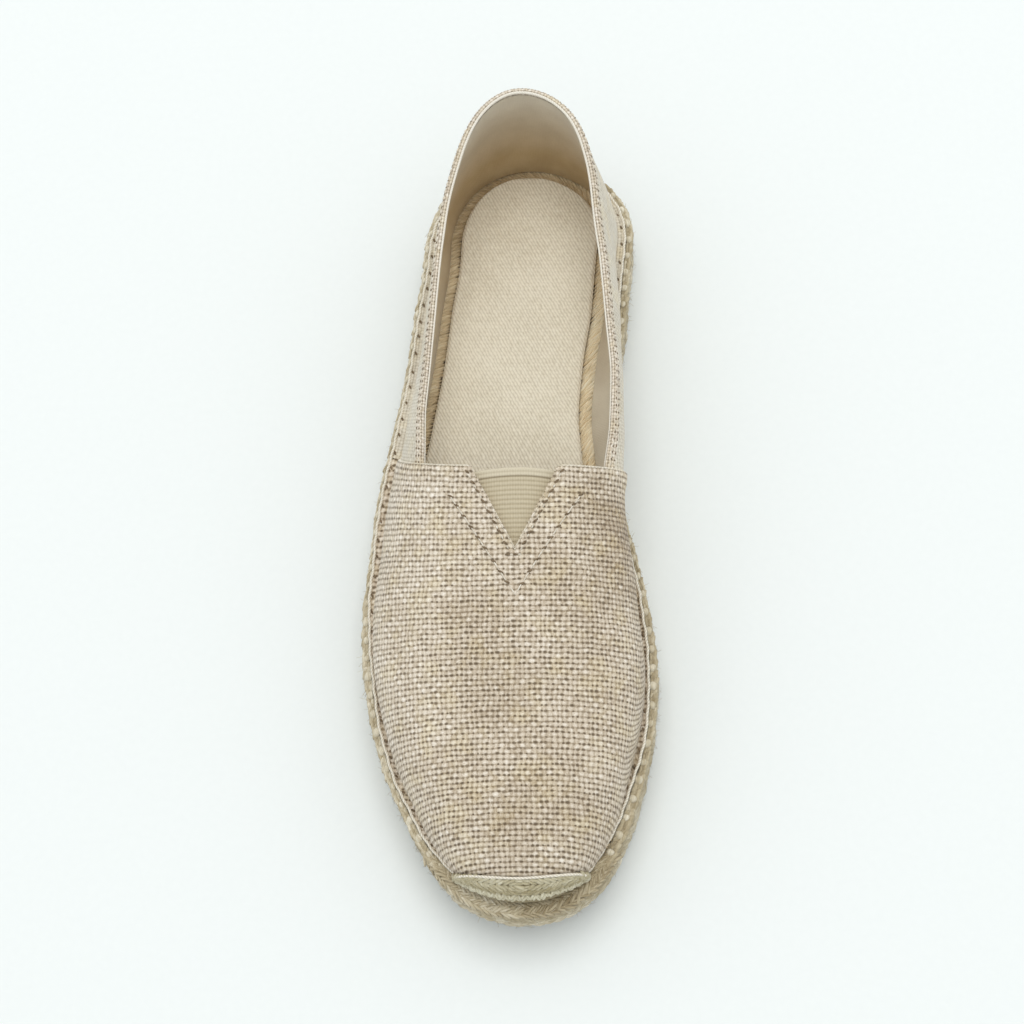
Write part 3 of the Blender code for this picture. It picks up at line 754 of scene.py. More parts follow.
def sock_half(side, shares):
    """x and y along one edge of the sock."""
    inset = INSOLE_INSET_LATERAL if side == LATERAL else INSOLE_INSET_MEDIAL
    line = edge_line(side, inset)
    first, last = line[0, 1], line[-1, 1]
    y = first + (last - first) * (1.0 - np.cos(np.pi * shares)) / 2.0
    x = np.interp(y, line[:, 1], line[:, 0])
    x[[0, -1]] = 0.0
    place = INSOLE_INSET_ENDS + (y - first) * (SOLE_LENGTH - 2.0 * INSOLE_INSET_ENDS) / (last - first)
    return x, place


def ripple(x, y, seed, size):
    """Smooth wandering height from a few crossed waves, from -1 to 1."""
    waves = np.random.default_rng(seed)
    total = 0.0
    for _ in range(6):
        turn, phase, stretch = waves.random(3) * (2.0 * np.pi, 2.0 * np.pi, 1.0)
        step = 2.0 * np.pi / (size * (0.7 + stretch))
        total = total + np.sin((x * np.cos(turn) + y * np.sin(turn)) * step + phase)
    return total / 6.0


shares = np.linspace(0.0, 1.0, SOCK_STATIONS)
(left_x, ys), (right_x, _) = sock_half(LATERAL, shares), sock_half(MEDIAL, shares)
columns = np.sin(np.linspace(-np.pi / 2.0, np.pi / 2.0, SOCK_COLUMNS))
xs = (left_x + right_x)[:, None] / 2.0 + (right_x - left_x)[:, None] / 2.0 * columns
ys = np.broadcast_to(ys[:, None], xs.shape)
edge_gap = np.minimum(xs - left_x[:, None], right_x[:, None] - xs)
edge_gap = np.minimum(edge_gap, np.minimum(ys - ys.min(), ys.max() - ys))
drop = np.sqrt(np.clip(1.0 - np.clip(edge_gap / SOCK_ROUND, 0, 1), 0, 1)) * SOCK_ROUND
wave = INSOLE_WAVE * ripple(xs, ys, 3, 0.06) * np.clip(edge_gap / 0.006, 0.0, 1.0)
top = np.stack((xs, ys, sole_top(ys) + INSOLE_TOP - drop + wave), axis=-1)
sock = laid_grid("sock", top, top[:, :, :2])
low_edge = top.copy()
low_edge[:, :, 2] = sole_top(ys) + 0.0004
rim_low = np.concatenate((low_edge[:, 0], low_edge[::-1, -1]))
rim_high = np.concatenate((top[:, 0], top[::-1, -1]))
sock_edge = laid_grid("sock_edge", np.stack((rim_low, rim_high)), np.stack((rim_low, rim_high))[:, :, :2])
sock = join("sock", [sock, sock_edge])


def twill_material(name, angle, pitch, light, dark, strength):
    """Twill: slanting ribs of short floats, with the odd darker yarn, and painted shade that darkens the
    grooves between the ribs.
    """
    made, maker, shader = material(name, 0.92, 0.1)
    place = maker.read("lay").outputs["Vector"]
    x, y, _ = maker.split(place)
    run, rise = math.cos(math.radians(angle)) / pitch, math.sin(math.radians(angle)) / pitch
    sway = maker.times(maker.noise(place, 320.0, 2.0), 0.9)
    rib = maker.add(maker.times(x, run), maker.times(y, rise), sway)
    along = maker.less(maker.times(y, run), maker.times(x, rise))
    ridge = maker.size(maker.sine(maker.times(rib, math.pi)))
    row = maker.math("FLOOR", rib)
    float_wave = maker.sine(maker.add(maker.times(along, 3.9), maker.times(row, 2.1)))
    height = maker.add(ridge, maker.times(float_wave, 0.18))
    yarn = maker.noise(maker.combine(maker.times(x, 900.0), maker.times(y, 420.0), 0.0), 1.0, 4.0, 0.7)
    patch = maker.noise(place, 35.0, 3.0)
    # Painted shade: the rib's height lightens its crown and darkens the groove.
    shade = maker.add(maker.times(maker.fit(height, 0.0, 1.0), 0.42),
                      maker.times(maker.fit(yarn, 0.3, 0.7), 0.42),
                      maker.times(maker.fit(patch, 0.3, 0.7), 0.2))
    maker.join(shader.inputs["Base Color"], maker.ramp(shade, (0.1, dark), (0.8, light)))
    bump(maker, shader, height, strength)
    return made


TWILL_ANGLE, TWILL_PITCH = 27.0, 0.00104
dress(sock, twill_material("sock_twill", TWILL_ANGLE, TWILL_PITCH, (0.87, 0.80, 0.665), (0.58, 0.50, 0.37),
                           0.00012))
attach(sock, "root")
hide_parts("insole")

# Vamp. One piece of slubby linen in plain weave, stretched over the last and stitched down to the
# sole all round, with its back edge folded into a hem across the throat and a V cut for the gore.
SEAM_INSET = 0.0049
WALL = 0.0016
VAMP_STEP = 0.0006
HEM_STEP = 0.0010
HEM_WIDTH = 0.0042
PLAIT_RELIEF = 0.0005
CLEARANCE = 0.0003
THROAT_REACH = 0.1352
INSTEP_HEIGHT = 0.0399
TOE_BOX_DEPTH = 0.038
COLLAR_HEIGHT = 0.0456
COLLAR_BACK = 0.0037
VAMP_SWEEP = {LATERAL: 0.0206, MEDIAL: 0.0118}
NOTCH_WIDTH = 0.0250
NOTCH_DEPTH = 0.0265
NOTCH_CUT = 0.0278
NOTCH_SHIFT = -0.0012
BULGE_LIFT = 1.2
FOOT_INSET = SEAM_INSET + WALL + PLAIT_RELIEF
THREAD = 0.00165
WEAVE_RELIEF = 0.00006
FLANGE_LIFT = 0.0003

# Vamp sections from toe to throat: height and bulges as shares of the instep height
VAMP = table(
    "along height fullness lateral medial",
    (0.00, 0.450, 2.50, 0.00, 0.000),
    (0.20, 0.525, 2.50, 0.00, 0.000),
    (0.40, 0.630, 2.45, 0.00, 0.000),
    (0.60, 0.745, 2.40, 0.01, 0.020),
    (0.80, 0.865, 2.35, 0.01, 0.100),
    (1.00, 1.000, 2.30, 0.01, 0.226),
)


def upper_seat(y):
    """Height of the upper's lower edge."""
    reach = WALL + VAMP_STEP + HEM_STEP
    return np.maximum(sole_top(y), sole_top(y - reach)) + CLEARANCE


def vamp_height(y):
    """Height of the ridge above the sole's top."""
    tall = INSTEP_HEIGHT * read(VAMP, "height", y / THROAT_REACH)
    return tall * rounded((y - FOOT_INSET) / TOE_BOX_DEPTH, *OVAL)


def vamp_point(side, y, level):
    """Inner face of the vamp: y is the ridge's place, level the height as a share of the ridge's."""
    along = y / THROAT_REACH
    foot_y = y + VAMP_SWEEP[side] * along ** 2
    foot_x = edge_x(side, FOOT_INSET, foot_y)
    foot_z = upper_seat(foot_y)
    ridge_z = upper_seat(y) + vamp_height(y)
    n = read(VAMP, "fullness", along)
    bulge = INSTEP_HEIGHT * read(VAMP, SIDE_NAME[side], along) * np.sin(np.pi * level ** BULGE_LIFT)
    x = foot_x * np.maximum(0.0, 1.0 - level ** n) ** (1.0 / n) + side * bulge
    return np.stack(np.broadcast_arrays(x, foot_y + (y - foot_y) * level,
                                        foot_z + (ridge_z - foot_z) * level), axis=-1)


VAMP_ROWS, VAMP_TURNS, TOE_CROWDING = 200, 90, 1.5
row_shares = np.linspace(0.0, 1.0, VAMP_ROWS + 1)[1:]
row_ys = (FOOT_INSET + (THROAT_REACH - FOOT_INSET) * row_shares ** TOE_CROWDING)[:, None]
turns = np.linspace(0.0, np.pi / 2.0, VAMP_TURNS)[None, :]
levels = np.sin(turns) ** (2.0 / read(VAMP, "fullness", row_ys / THROAT_REACH))
vamp_inner = np.concatenate((vamp_point(LATERAL, row_ys, levels),
                             vamp_point(MEDIAL, row_ys, levels)[:, -2::-1]), axis=1)


def sheet_normals(places):
    """Normals of a grid of places."""
    down, over = np.gradient(places, axis=0), np.gradient(places, axis=1)
    return unit(np.cross(over, down))


def runs(places, axis):
    """Distance run along one axis of a grid, from its first line."""
    steps = np.linalg.norm(np.diff(places, axis=axis), axis=-1)
    total = np.cumsum(steps, axis=axis)
    return np.insert(total, 0, 0.0, axis=axis)


def sample(grid, i, j):
    """Values of a grid at fractional places."""
    i = np.clip(i, 0, grid.shape[0] - 1.001)
    j = np.clip(j, 0, grid.shape[1] - 1.001)
    i0, j0 = i.astype(int), j.astype(int)
    a, b = (i - i0)[..., None], (j - j0)[..., None]
    near = grid[i0, j0] * (1 - b) + grid[i0, j0 + 1] * b
    far = grid[i0 + 1, j0] * (1 - b) + grid[i0 + 1, j0 + 1] * b
    return near * (1 - a) + far * a


def find(grid, x, y):
    """Fractional places in a grid of the points that lie over x and y in plan."""
    x, y = np.atleast_1d(x).astype(float), np.atleast_1d(y).astype(float)
    down, over = np.gradient(grid, axis=0), np.gradient(grid, axis=1)
    rows, columns = [], []
    for px, py in zip(x.ravel(), y.ravel()):
        away = (grid[:, :, 0] - px) ** 2 + (grid[:, :, 1] - py) ** 2
        i, j = np.unravel_index(np.argmin(away), away.shape)
        slope = np.array((down[i, j, :2], over[i, j, :2])).T
        step = np.linalg.lstsq(slope, np.array((px, py)) - grid[i, j, :2], rcond=None)[0]
        step = np.clip(step, -1.0, 1.0)
        rows.append(i + step[0])
        columns.append(j + step[1])
    return np.array(rows).reshape(x.shape), np.array(columns).reshape(x.shape)


vamp_normal = sheet_normals(vamp_inner)
from_throat = runs(vamp_inner[::-1], 0)[::-1]
ridge = VAMP_TURNS - 1
hem_rise = ease((HEM_WIDTH - from_throat[:, ridge]) / 0.003 + 0.5)
vamp_wall = (WALL + VAMP_STEP + HEM_STEP * 0.35 * hem_rise)[:, None, None]
vamp_outer = vamp_inner + vamp_normal * vamp_wall

# Soft troughs and ridges of the cloth: start and end in plan as x and distance from the toe tip,
# half width, and depth, which is negative for a ridge. All in millimetres.
CREASES = (
    ((-14, 104), (-24, 84), 3.6, 0.55),
    ((-19, 106), (-30, 88), 4.0, -0.35),
    ((22, 112), (34, 90), 5.0, 0.45),
    ((28, 120), (40, 104), 4.5, -0.35),
    ((-34, 60), (-10, 66), 6.0, 0.30),
    ((4, 70), (34, 58), 6.5, 0.32),
    ((-4, 84), (6, 66), 7.0, -0.25),
    ((30, 40), (40, 56), 3.0, 0.50),
    ((24, 30), (36, 42), 2.6, 0.40),
    ((-24, 26), (-36, 40), 2.8, 0.40),
    ((-40, 70), (-37, 96), 4.0, 0.40),
)


def crease_depth(x, y):
    """How far the cloth lies below its smooth form."""
    total = np.zeros(np.broadcast(x, y).shape)
    for start, end, width, depth in CREASES:
        (ax, ay), (bx, by) = np.array(start) / 1000.0, np.array(end) / 1000.0
        length = math.hypot(bx - ax, by - ay)
        along = ((x - ax) * (bx - ax) + (y - ay) * (by - ay)) / length ** 2
        away = np.abs((x - ax) * (by - ay) - (y - ay) * (bx - ax)) / length
        fade = np.exp(-(np.clip(np.abs(along - 0.5) - 0.3, 0.0, None) / 0.22) ** 2)
        total = total + depth / 1000.0 * fade * np.exp(-(away / (width / 1000.0)) ** 2)
    return total


def plain_weave(u, v):
    """Height of a plain weave: u and v count threads, holes lie at whole numbers."""
    su, sv = np.sin(np.pi * u), np.sin(np.pi * v)
    warp = 0.5 * sv * np.sign(su) + 0.5 * np.abs(su) ** 0.6
    weft = -0.5 * su * np.sign(sv) + 0.5 * np.abs(sv) ** 0.6
    return np.maximum(warp, weft)


def in_notch(x, y, margin=0.0):
    """Whether a place in plan is inside the V."""
    half = NOTCH_CUT / 2.0 * (y - (THROAT_REACH - NOTCH_DEPTH)) / NOTCH_DEPTH
    return np.abs(x - NOTCH_SHIFT) < half - margin


def drift(s, t, seed, share):
    """How far the threads wander from their even spacing, in threads."""
    return share * (ripple(s, t, seed, 0.016) + ripple(s, t, seed + 1, 0.006))


GATHER_DEPTH = 0.015
GATHER_THREADS = 6.0
# Distance from the toe tip up to which the vamp's lower edge turns round the toe
TOE_TURN_END = 0.09


def gathered(from_foot, y):
    """Share of the crowding of the threads where the cloth is eased in beside the toe."""
    place = ease((y - 0.030) / 0.025) * ease((0.112 - y) / 0.030)
    return place * np.clip(1.0 - from_foot / GATHER_DEPTH, 0.0, 1.0) ** 2


def weave_over(grid, normals, pitch, relief):
    """Points of cloth over a grid, on lines that count its threads from the ridge and the throat."""
    down_run = runs(grid[::-1], 0)[::-1, ridge]
    side_run = runs(grid, 1)
    side_run = side_run - side_run[:, ridge:ridge + 1]
    step = pitch / 3.0
    ts = np.arange(0.0, down_run[0], step)
    widest = max(-side_run[:, 0].min(), side_run[:, -1].max()) + 0.004
    half = int(widest / step) + 1
    ss = np.arange(-half, half + 1) * step
    rows = np.interp(ts, down_run[::-1], np.arange(len(down_run))[::-1])
    places = np.zeros((len(ts), len(ss), 3))
    facing = np.zeros_like(places)
    beyond = np.zeros((len(ts), len(ss)), dtype=bool)
    held = np.ones((len(ts), len(ss)))
    crowd = np.zeros((len(ts), len(ss)))
    for n, row in enumerate(rows):
        i = min(int(row), len(grid) - 2)
        f = row - i
        line = grid[i] * (1 - f) + grid[i + 1] * f
        out = normals[i] * (1 - f) + normals[i + 1] * f
        run = side_run[i] * (1 - f) + side_run[i + 1] * f
        for k in range(3):
            places[n, :, k] = np.interp(ss, run, line[:, k])
            facing[n, :, k] = np.interp(ss, run, out[:, k])
        for side, foot, extra in ((LATERAL, line[0], run[0] - ss), (MEDIAL, line[-1], ss - run[-1])):
            y = foot[1]
            flange = max(0.0, FOOT_INSET - WALL - VAMP_STEP + 0.0003 - float(seam_inset(side, y)))
            rim, inner = (np.array((edge_x(side, inset, y), y)) for inset in (0.0, 0.001))
            out_x = side * abs(rim[0] - inner[0])
            slope = np.array((out_x, -math.sqrt(max(0.0, 1e-6 - out_x ** 2)) if y < TOE_TURN_END else 0.0))
            slope = slope / np.linalg.norm(slope)
            turned = np.clip(extra, 0.0, flange)
            places[n, :, :2] += slope * turned[:, None]
            places[n, :, 2] += np.where(turned > 0, FLANGE_LIFT, 0.0)
            facing[n, turned > 0] = (0.0, 0.0, 1.0)
            beyond[n] |= extra > flange
            held[n] = np.where(extra > flange, 0.0, held[n])
            if side == MEDIAL:
                crowd[n] = gathered(np.clip(-extra, 0.0, 1.0), places[n, :, 1])
    facing = unit(facing)
    t_grid, s_grid = np.meshgrid(ts, ss, indexing="ij")
    u = s_grid / pitch + drift(s_grid, t_grid, 60, 0.26) + crowd * GATHER_THREADS
    v = t_grid / pitch + drift(s_grid, t_grid, 70, 0.12) + crowd * GATHER_THREADS * 0.8
    height = plain_weave(u, v) * relief * (1.0 - 0.8 * np.minimum(1.0, crowd * 3.0))
    sunk = crease_depth(places[:, :, 0], places[:, :, 1])
    swell = 0.00022 * ripple(places[:, :, 0], places[:, :, 1], 8, 0.035)
    places = places + facing * ((height + swell - sunk) * held)[:, :, None]
    return places, np.stack((u * pitch, v * pitch), axis=-1), beyond


def corners_all(marks):
    """Whether all four corners of each face are marked."""
    return marks[1:, 1:] & marks[1:, :-1] & marks[:-1, 1:] & marks[:-1, :-1]


def centres(grid):
    """Middle of each face of a grid."""
    return (grid[1:, 1:] + grid[1:, :-1] + grid[:-1, 1:] + grid[:-1, :-1]) / 4.0


# Brown and pale patches of the linen: place in plan in millimetres, reach, and shade
PATCHES = (
    ((32, 122), 11, -0.55),
    ((38, 104), 12, -0.38),
    ((20, 96), 10, -0.18),
    ((26, 80), 12, -0.12),
    ((-8, 80), 13, -0.16),
    ((0, 62), 14, -0.13),
    ((-28, 118), 14, 0.05),
    ((-34, 96), 15, 0.08),
    ((-38, 70), 14, 0.05),
    ((-20, 88), 7, -0.16),
    ((44, 70), 8, -0.30),
    ((40, 50), 8, -0.28),
    ((4, 28), 18, -0.20),
    ((-34, 46), 12, 0.04),
    ((30, 24), 10, -0.15),
    ((45, 84), 6, -0.30),
    ((46, 94), 6, -0.30),
    ((-30, 133), 9, 0.03),
)


def patch_shade(x, y):
    """Shade of the linen's patches at a place in plan."""
    total = np.zeros(np.broadcast(x, y).shape)
    for (px, py), reach, shade in PATCHES:
        total = total + shade * np.exp(-((x * 1000 - px) ** 2 + (y * 1000 - py) ** 2) / reach ** 2)
    return total


places, lay, beyond = weave_over(vamp_outer, vamp_normal, THREAD, WEAVE_RELIEF)
vamp_cloth = laid_grid("vamp_cloth", places, lay, patch_shade(places[:, :, 0], places[:, :, 1]), flip=True)
middles = centres(places)
cut_away(vamp_cloth, corners_all(beyond) | in_notch(middles[:, :, 0], middles[:, :, 1], 0.0002))


def weave_group():
    """Plain weave with slubs: height, painted shade in the holes and between the threads, and a tone that
    runs along the threads with painted highlights on their crowns.
    """
    maker, start, end = group(
        "weave",
        (("Lay", "NodeSocketVector", None), ("Pitch", "NodeSocketFloat", THREAD),
         ("Slub", "NodeSocketFloat", 1.0)),
        (("Height", "NodeSocketFloat"), ("Gap", "NodeSocketFloat"), ("Shade", "NodeSocketFloat")))
    x, y, _ = maker.split(start.outputs["Lay"])
    a = maker.math("DIVIDE", x, start.outputs["Pitch"])
    b = maker.math("DIVIDE", y, start.outputs["Pitch"])
    sin_a = maker.sine(maker.times(a, math.pi))
    sin_b = maker.sine(maker.times(b, math.pi))
    heights, shades, grains = [], [], []
    for own, other, own_count, other_count, sense, seed, thin, thick in (
            (sin_a, sin_b, a, b, 1.0, 0.0, 0.34, 0.64), (sin_b, sin_a, b, a, -1.0, 40.0, 0.50, 0.86)):
        thread = maker.math("FLOOR", own_count)
        run = maker.combine(maker.times(other_count, 0.22), maker.times(thread, 5.3), seed)
        slub = maker.times(maker.less(maker.noise(run, 1.0, 2.0), 0.5), start.outputs["Slub"])
        rise = maker.times(maker.times(other, maker.math("SIGN", own)), 0.32 * sense)
        crown = maker.math("POWER", maker.size(own), 0.5)
        heights.append(maker.add(rise, maker.times(crown, maker.fit(slub, -0.2, 0.2, thin, thick))))
        run = maker.combine(maker.times(other_count, 0.34), maker.times(thread, 3.1), seed + 17.0)
        fibre = maker.combine(maker.times(other_count, 1.7), maker.times(own_count, 5.0), seed + 29.0)
        shades.append(maker.add(maker.times(maker.noise(run, 1.0, 3.0, 0.6), 0.5),
                                maker.times(maker.noise(fibre, 1.0, 2.0), 0.5)))
        grains.append(maker.times(maker.math("POWER", maker.size(own), 1.2),
                                  maker.math("POWER", maker.size(other), 0.45)))
    height = maker.math("MAXIMUM", *heights)
    warp_over = maker.math("GREATER_THAN", heights[0], heights[1])
    weft_over = maker.less(1.0, warp_over)
    shade = maker.add(maker.times(shades[0], warp_over), maker.times(shades[1], weft_over))
    crossing = maker.combine(maker.math("FLOOR", a), maker.math("FLOOR", b), 5.0)
    own_shade = maker.node("ShaderNodeTexWhiteNoise", {"Vector": crossing}).outputs["Value"]
    # Painted highlight: a bright speck on the crown of each float, and the weft floats lighter than the
    # warp floats, which stand for threads in shade.
    speck = maker.add(maker.times(grains[0], warp_over), maker.times(grains[1], weft_over))
    speck = maker.times(speck, maker.fit(own_shade, 0.0, 1.0, 0.15, 0.29))
    shade = maker.add(maker.times(maker.fit(shade, 0.32, 0.68), 0.58), speck, maker.times(weft_over, 0.10))
    # Painted shade: dark holes where the threads cross, dark dashes between the rows and dark lines between
    # the columns.
    near_a, near_b = maker.math("ROUND", a), maker.math("ROUND", b)
    dice = maker.node("ShaderNodeTexWhiteNoise", {"Vector": maker.combine(near_a, near_b, 3.0)})
    second, third, _ = maker.split(dice.outputs["Color"])
    from_a, from_b = maker.less(a, near_a), maker.less(b, near_b)
    off_a = maker.add(from_a, maker.fit(second, 0.0, 1.0, -0.16, 0.16))
    off_b = maker.add(from_b, maker.fit(third, 0.0, 1.0, -0.08, 0.08))
    away_a = maker.math("DIVIDE", off_a, maker.fit(dice.outputs["Value"], 0.0, 1.0, 0.18, 0.44))
    away_b = maker.math("DIVIDE", off_b, maker.fit(second, 0.0, 1.0, 0.16, 0.28))
    away = maker.math("SQRT", maker.add(maker.times(away_a, away_a), maker.times(away_b, away_b)))
    hole = maker.times(maker.fit(away, 1.4, 0.5), maker.fit(third, 0.0, 0.7, 0.35, 1.0))
    between = maker.fit(maker.size(from_b), 0.22, 0.05)
    row_run = maker.combine(maker.times(a, 0.45), maker.times(near_b, 7.3), 9.0)
    joined = maker.fit(maker.noise(row_run, 1.0, 2.0), 0.46, 0.66, 0.0, 0.36)
    hole = maker.math("MAXIMUM", hole, maker.times(between, joined))
    beside = maker.fit(maker.size(from_a), 0.20, 0.04)
    column_run = maker.combine(maker.times(near_a, 7.3), maker.times(b, 0.6), 15.0)
    split = maker.fit(maker.noise(column_run, 1.0, 2.0), 0.50, 0.68, 0.0, 0.24)
    hole = maker.math("MAXIMUM", hole, maker.times(beside, split))
    hair = maker.noise(start.outputs["Lay"], 3200.0, 2.0)
    rough = maker.add(height, maker.times(hair, 0.3))
    maker.join(end.inputs["Height"], maker.less(rough, maker.times(hole, 0.5)))
    maker.join(end.inputs["Gap"], hole)
    maker.join(end.inputs["Shade"], shade)
    return maker.tree


WEAVE = weave_group()


def linen(name, pitch, slub, colours, gap_colour, gap_share, relief):
    """Natural linen: threads from brown to cream, lighter on their crowns as painted light, with painted
    shade in the holes between them.
    """
    made, maker, shader = material(name, 0.93, 0.2)
    lay, tone = maker.read("lay").outputs["Vector"], maker.read("tone").outputs["Fac"]
    weave = use(maker, WEAVE, Lay=lay, Pitch=pitch, Slub=slub)
    place = maker.node("ShaderNodeTexCoord").outputs["Object"]
    cloud = maker.fit(maker.noise(place, 60.0, 3.0), 0.3, 0.7)
    grain = maker.noise(lay, 2300.0, 3.0, 0.7)
    # Painted light and shade: the weave's height lightens the thread crowns, and its Shade carries painted
    # highlights.
    level = maker.add(maker.times(weave.outputs["Shade"], 0.82), maker.times(cloud, 0.12),
                      maker.times(tone, 0.55), maker.fit(weave.outputs["Height"], 0.3, 1.2, -0.12, 0.20),
                      maker.fit(grain, 0.3, 0.7, -0.15, 0.17))
    colour = maker.ramp(level, *colours)
    straw = maker.ramp(level, (0.1, (0.42, 0.30, 0.14)), (0.9, (0.84, 0.74, 0.52)))
    colour = maker.mix(maker.fit(maker.noise(place, 140.0, 3.0), 0.48, 0.68, 0.0, 0.45), colour, straw)
    # Painted shade: the gap colour goes into the holes and between the threads.
    share = maker.fit(tone, 0.0, 0.12, gap_share, gap_share * 0.6)
    colour = maker.mix(maker.times(weave.outputs["Gap"], share), colour, gap_colour)
    maker.join(shader.inputs["Base Color"], colour)
    bump(maker, shader, weave.outputs["Height"], relief)
    return made


LINEN_COLOURS = ((0.0, (0.28, 0.205, 0.13)), (0.35, (0.51, 0.418, 0.31)), (0.65, (0.72, 0.63, 0.518)),
                 (1.0, (0.95, 0.885, 0.80)))
LINEN = linen("linen", THREAD, 1.0, LINEN_COLOURS, (0.13, 0.092, 0.055), 0.88, 0.00026)
dress(vamp_cloth, LINEN)
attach(vamp_cloth, "root")
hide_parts("upper")


def fold(name, outer, inner, bulge, thread_run, sides=8):
    """Rounded edge of a folded hem, from an outer line over to an inner one."""
    turns = np.linspace(0.0, np.pi, sides + 1)[:, None, None]
    middle, half = (outer + inner) / 2.0, (outer - inner) / 2.0
    places = middle + half * np.cos(turns) + bulge * np.sin(turns) ** 0.8
    lay = np.stack(np.broadcast_arrays(distance(outer)[None, :], turns[:, :, 0] * thread_run), axis=-1)
    tone = np.full(places.shape[:2], 0.25)
    return laid_grid(name, places, lay, tone)


EDGE_LINEN = linen("edge_linen", 0.0013, 0.6,
                   ((0.0, (0.45, 0.37, 0.26)), (0.5, (0.70, 0.63, 0.51)), (1.0, (0.90, 0.85, 0.75))),
                   (0.22, 0.17, 0.11), 0.5, 0.0002)

# Folded edges of the throat and of the V
THROAT_BULGE = 0.0008
NOTCH_BULGE = 0.0006
EDGE_FADE = 0.0016
EDGE_THREAD = 0.0006
backwards = unit(vamp_inner[-1] - vamp_inner[-2])
back_outer, back_inner = vamp_outer[-1] - vamp_normal[-1] * 0.0002, vamp_inner[-1]
edges = []
for mark in (-1, 1):
    keep = (back_outer[:, 0] - NOTCH_SHIFT) * mark > NOTCH_CUT / 2.0 - 0.0004
    fade = ease((np.abs(back_outer[keep][:, 0] - NOTCH_SHIFT) - NOTCH_CUT / 2.0) / EDGE_FADE)[:, None]
    bulge = backwards[keep] * THROAT_BULGE * fade
    edges.append(fold("throat", back_outer[keep], back_inner[keep], bulge, EDGE_THREAD))
notch_ys = np.linspace(THROAT_REACH - NOTCH_DEPTH, THROAT_REACH, 50)
for mark in (-1, 1):
    xs = NOTCH_SHIFT + mark * NOTCH_CUT / 2.0 * (notch_ys - notch_ys[0]) / NOTCH_DEPTH
    rows, columns = find(vamp_inner, xs, notch_ys)
    inside = sample(vamp_inner, rows, columns)
    outside = sample(vamp_outer, rows, columns)
    fade = ease((THROAT_REACH - notch_ys) / EDGE_FADE)[:, None]
    bulge = np.array((-mark * 0.9, 0.42, 0.0)) * NOTCH_BULGE * fade
    out = unit(outside - inside)
    edges.append(fold("notch", outside + out * 0.0001, inside, bulge, EDGE_THREAD))
throat_edge = join("throat_edge", edges)
dress(throat_edge, EDGE_LINEN)
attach(throat_edge, "root")
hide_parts("upper")

# Quarter. A strip of the same linen round the heel, stitched down to the sole, with its top edge
# turned over a cotton lining into a hem with two rows of stitches and a pale piping.
COLLAR_ROUND = 0.338
COLLAR_BLEND = 0.3
WALL_BLEND = 0.4
COLLAR = table(
    "along lateral medial height",
    (0.00, 0.422, 0.378, 0.634),
    (0.13, 0.423, 0.400, 0.616),
    (0.25, 0.408, 0.399, 0.624),
    (0.41, 0.389, 0.379, 0.651),
    (0.57, 0.366, 0.357, 0.702),
    (0.71, 0.334, 0.330, 0.790),
    (0.83, 0.314, 0.342, 0.880),
    (0.94, 0.312, 0.368, 0.972),
    (1.00, 0.312, 0.374, 1.000),
)
QUARTER = table(
    "along lateral medial",
    (0.00, 0.044, 0.088),
    (0.35, 0.040, 0.096),
    (0.60, 0.028, 0.052),
    (0.80, 0.032, 0.036),
    (1.00, 0.044, 0.044),
)


def along_line(points, shares):
    """Places at shares of a polyline's length, with that length."""
    run = distance(points)
    return spots(points, run, shares * run[-1]), run[-1]


def quarter_side(side, shares, ups):
    """Inner face of one side of the quarter: shares run from vamp to centre back, ups from sole to rim."""
    start_level = COLLAR_HEIGHT * COLLAR["height"][0] / INSTEP_HEIGHT
    seam = vamp_point(side, np.array(THROAT_REACH), start_level * ups)
    whole = vamp_point(side, np.array(THROAT_REACH), start_level * np.array((0.0, 1.0)))
    foot_start, rim_start = whole
    line = edge_line(side, FOOT_INSET)
    behind = line[line[:, 1] > foot_start[1] + 1e-6]
    foot, _ = along_line(np.vstack((foot_start[:2], behind)), shares)
    foot[shares >= 1.0, 0] = 0.0
    turn = np.linspace(0.0, np.pi / 2.0, 400)
    along = np.sin(turn)
    half = HEEL_WIDTH * read(COLLAR, SIDE_NAME[side], along) * rounded((1.0 - along) / COLLAR_ROUND, *OVAL)
    step_in = side * rim_start[0] - HEEL_WIDTH * COLLAR[SIDE_NAME[side]][0]
    half = half + step_in * (1.0 - ease(along / COLLAR_BLEND))
    y = rim_start[1] + (SOLE_LENGTH - COLLAR_BACK - rim_start[1]) * along
    z = upper_seat(y) + COLLAR_HEIGHT * read(COLLAR, "height", along)
    rim_line = np.stack((side * half, y, z), axis=1)
    rim, _ = along_line(rim_line, shares)
    rim[shares >= 1.0, 0] = 0.0
    run = unit(np.gradient(foot, axis=0))
    out = np.stack((side * run[:, 1], -side * run[:, 0], np.zeros(len(run))), axis=1)
    out[shares >= 1.0] = (0.0, 1.0, 0.0)
    low = upright(foot, upper_seat(foot[:, 1]))
    bulge = COLLAR_HEIGHT * read(QUARTER, SIDE_NAME[side], shares)

    def column(low, high, out, bulge):
        return low + (high - low) * ups[:, None] + out * bulge * np.sin(np.pi * ups)[:, None]

    wall = np.stack([column(*c) for c in zip(low, rim, out, bulge)])
    left = 1.0 - ease(shares / WALL_BLEND)
    return wall + (seam - wall[0])[None] * left[:, None, None]


QUARTER_COLUMNS, QUARTER_UPS = 240, 60
shares, ups = np.linspace(0.0, 1.0, QUARTER_COLUMNS), np.linspace(0.0, 1.0, QUARTER_UPS)
wall_inner = np.concatenate((quarter_side(LATERAL, shares, ups), quarter_side(MEDIAL, shares, ups)[-2::-1]))
wall_normal = sheet_normals(wall_inner)
wall_normal = wall_normal * np.sign((wall_normal[QUARTER_COLUMNS - 1, 30] * (0, 1, 0)).sum())


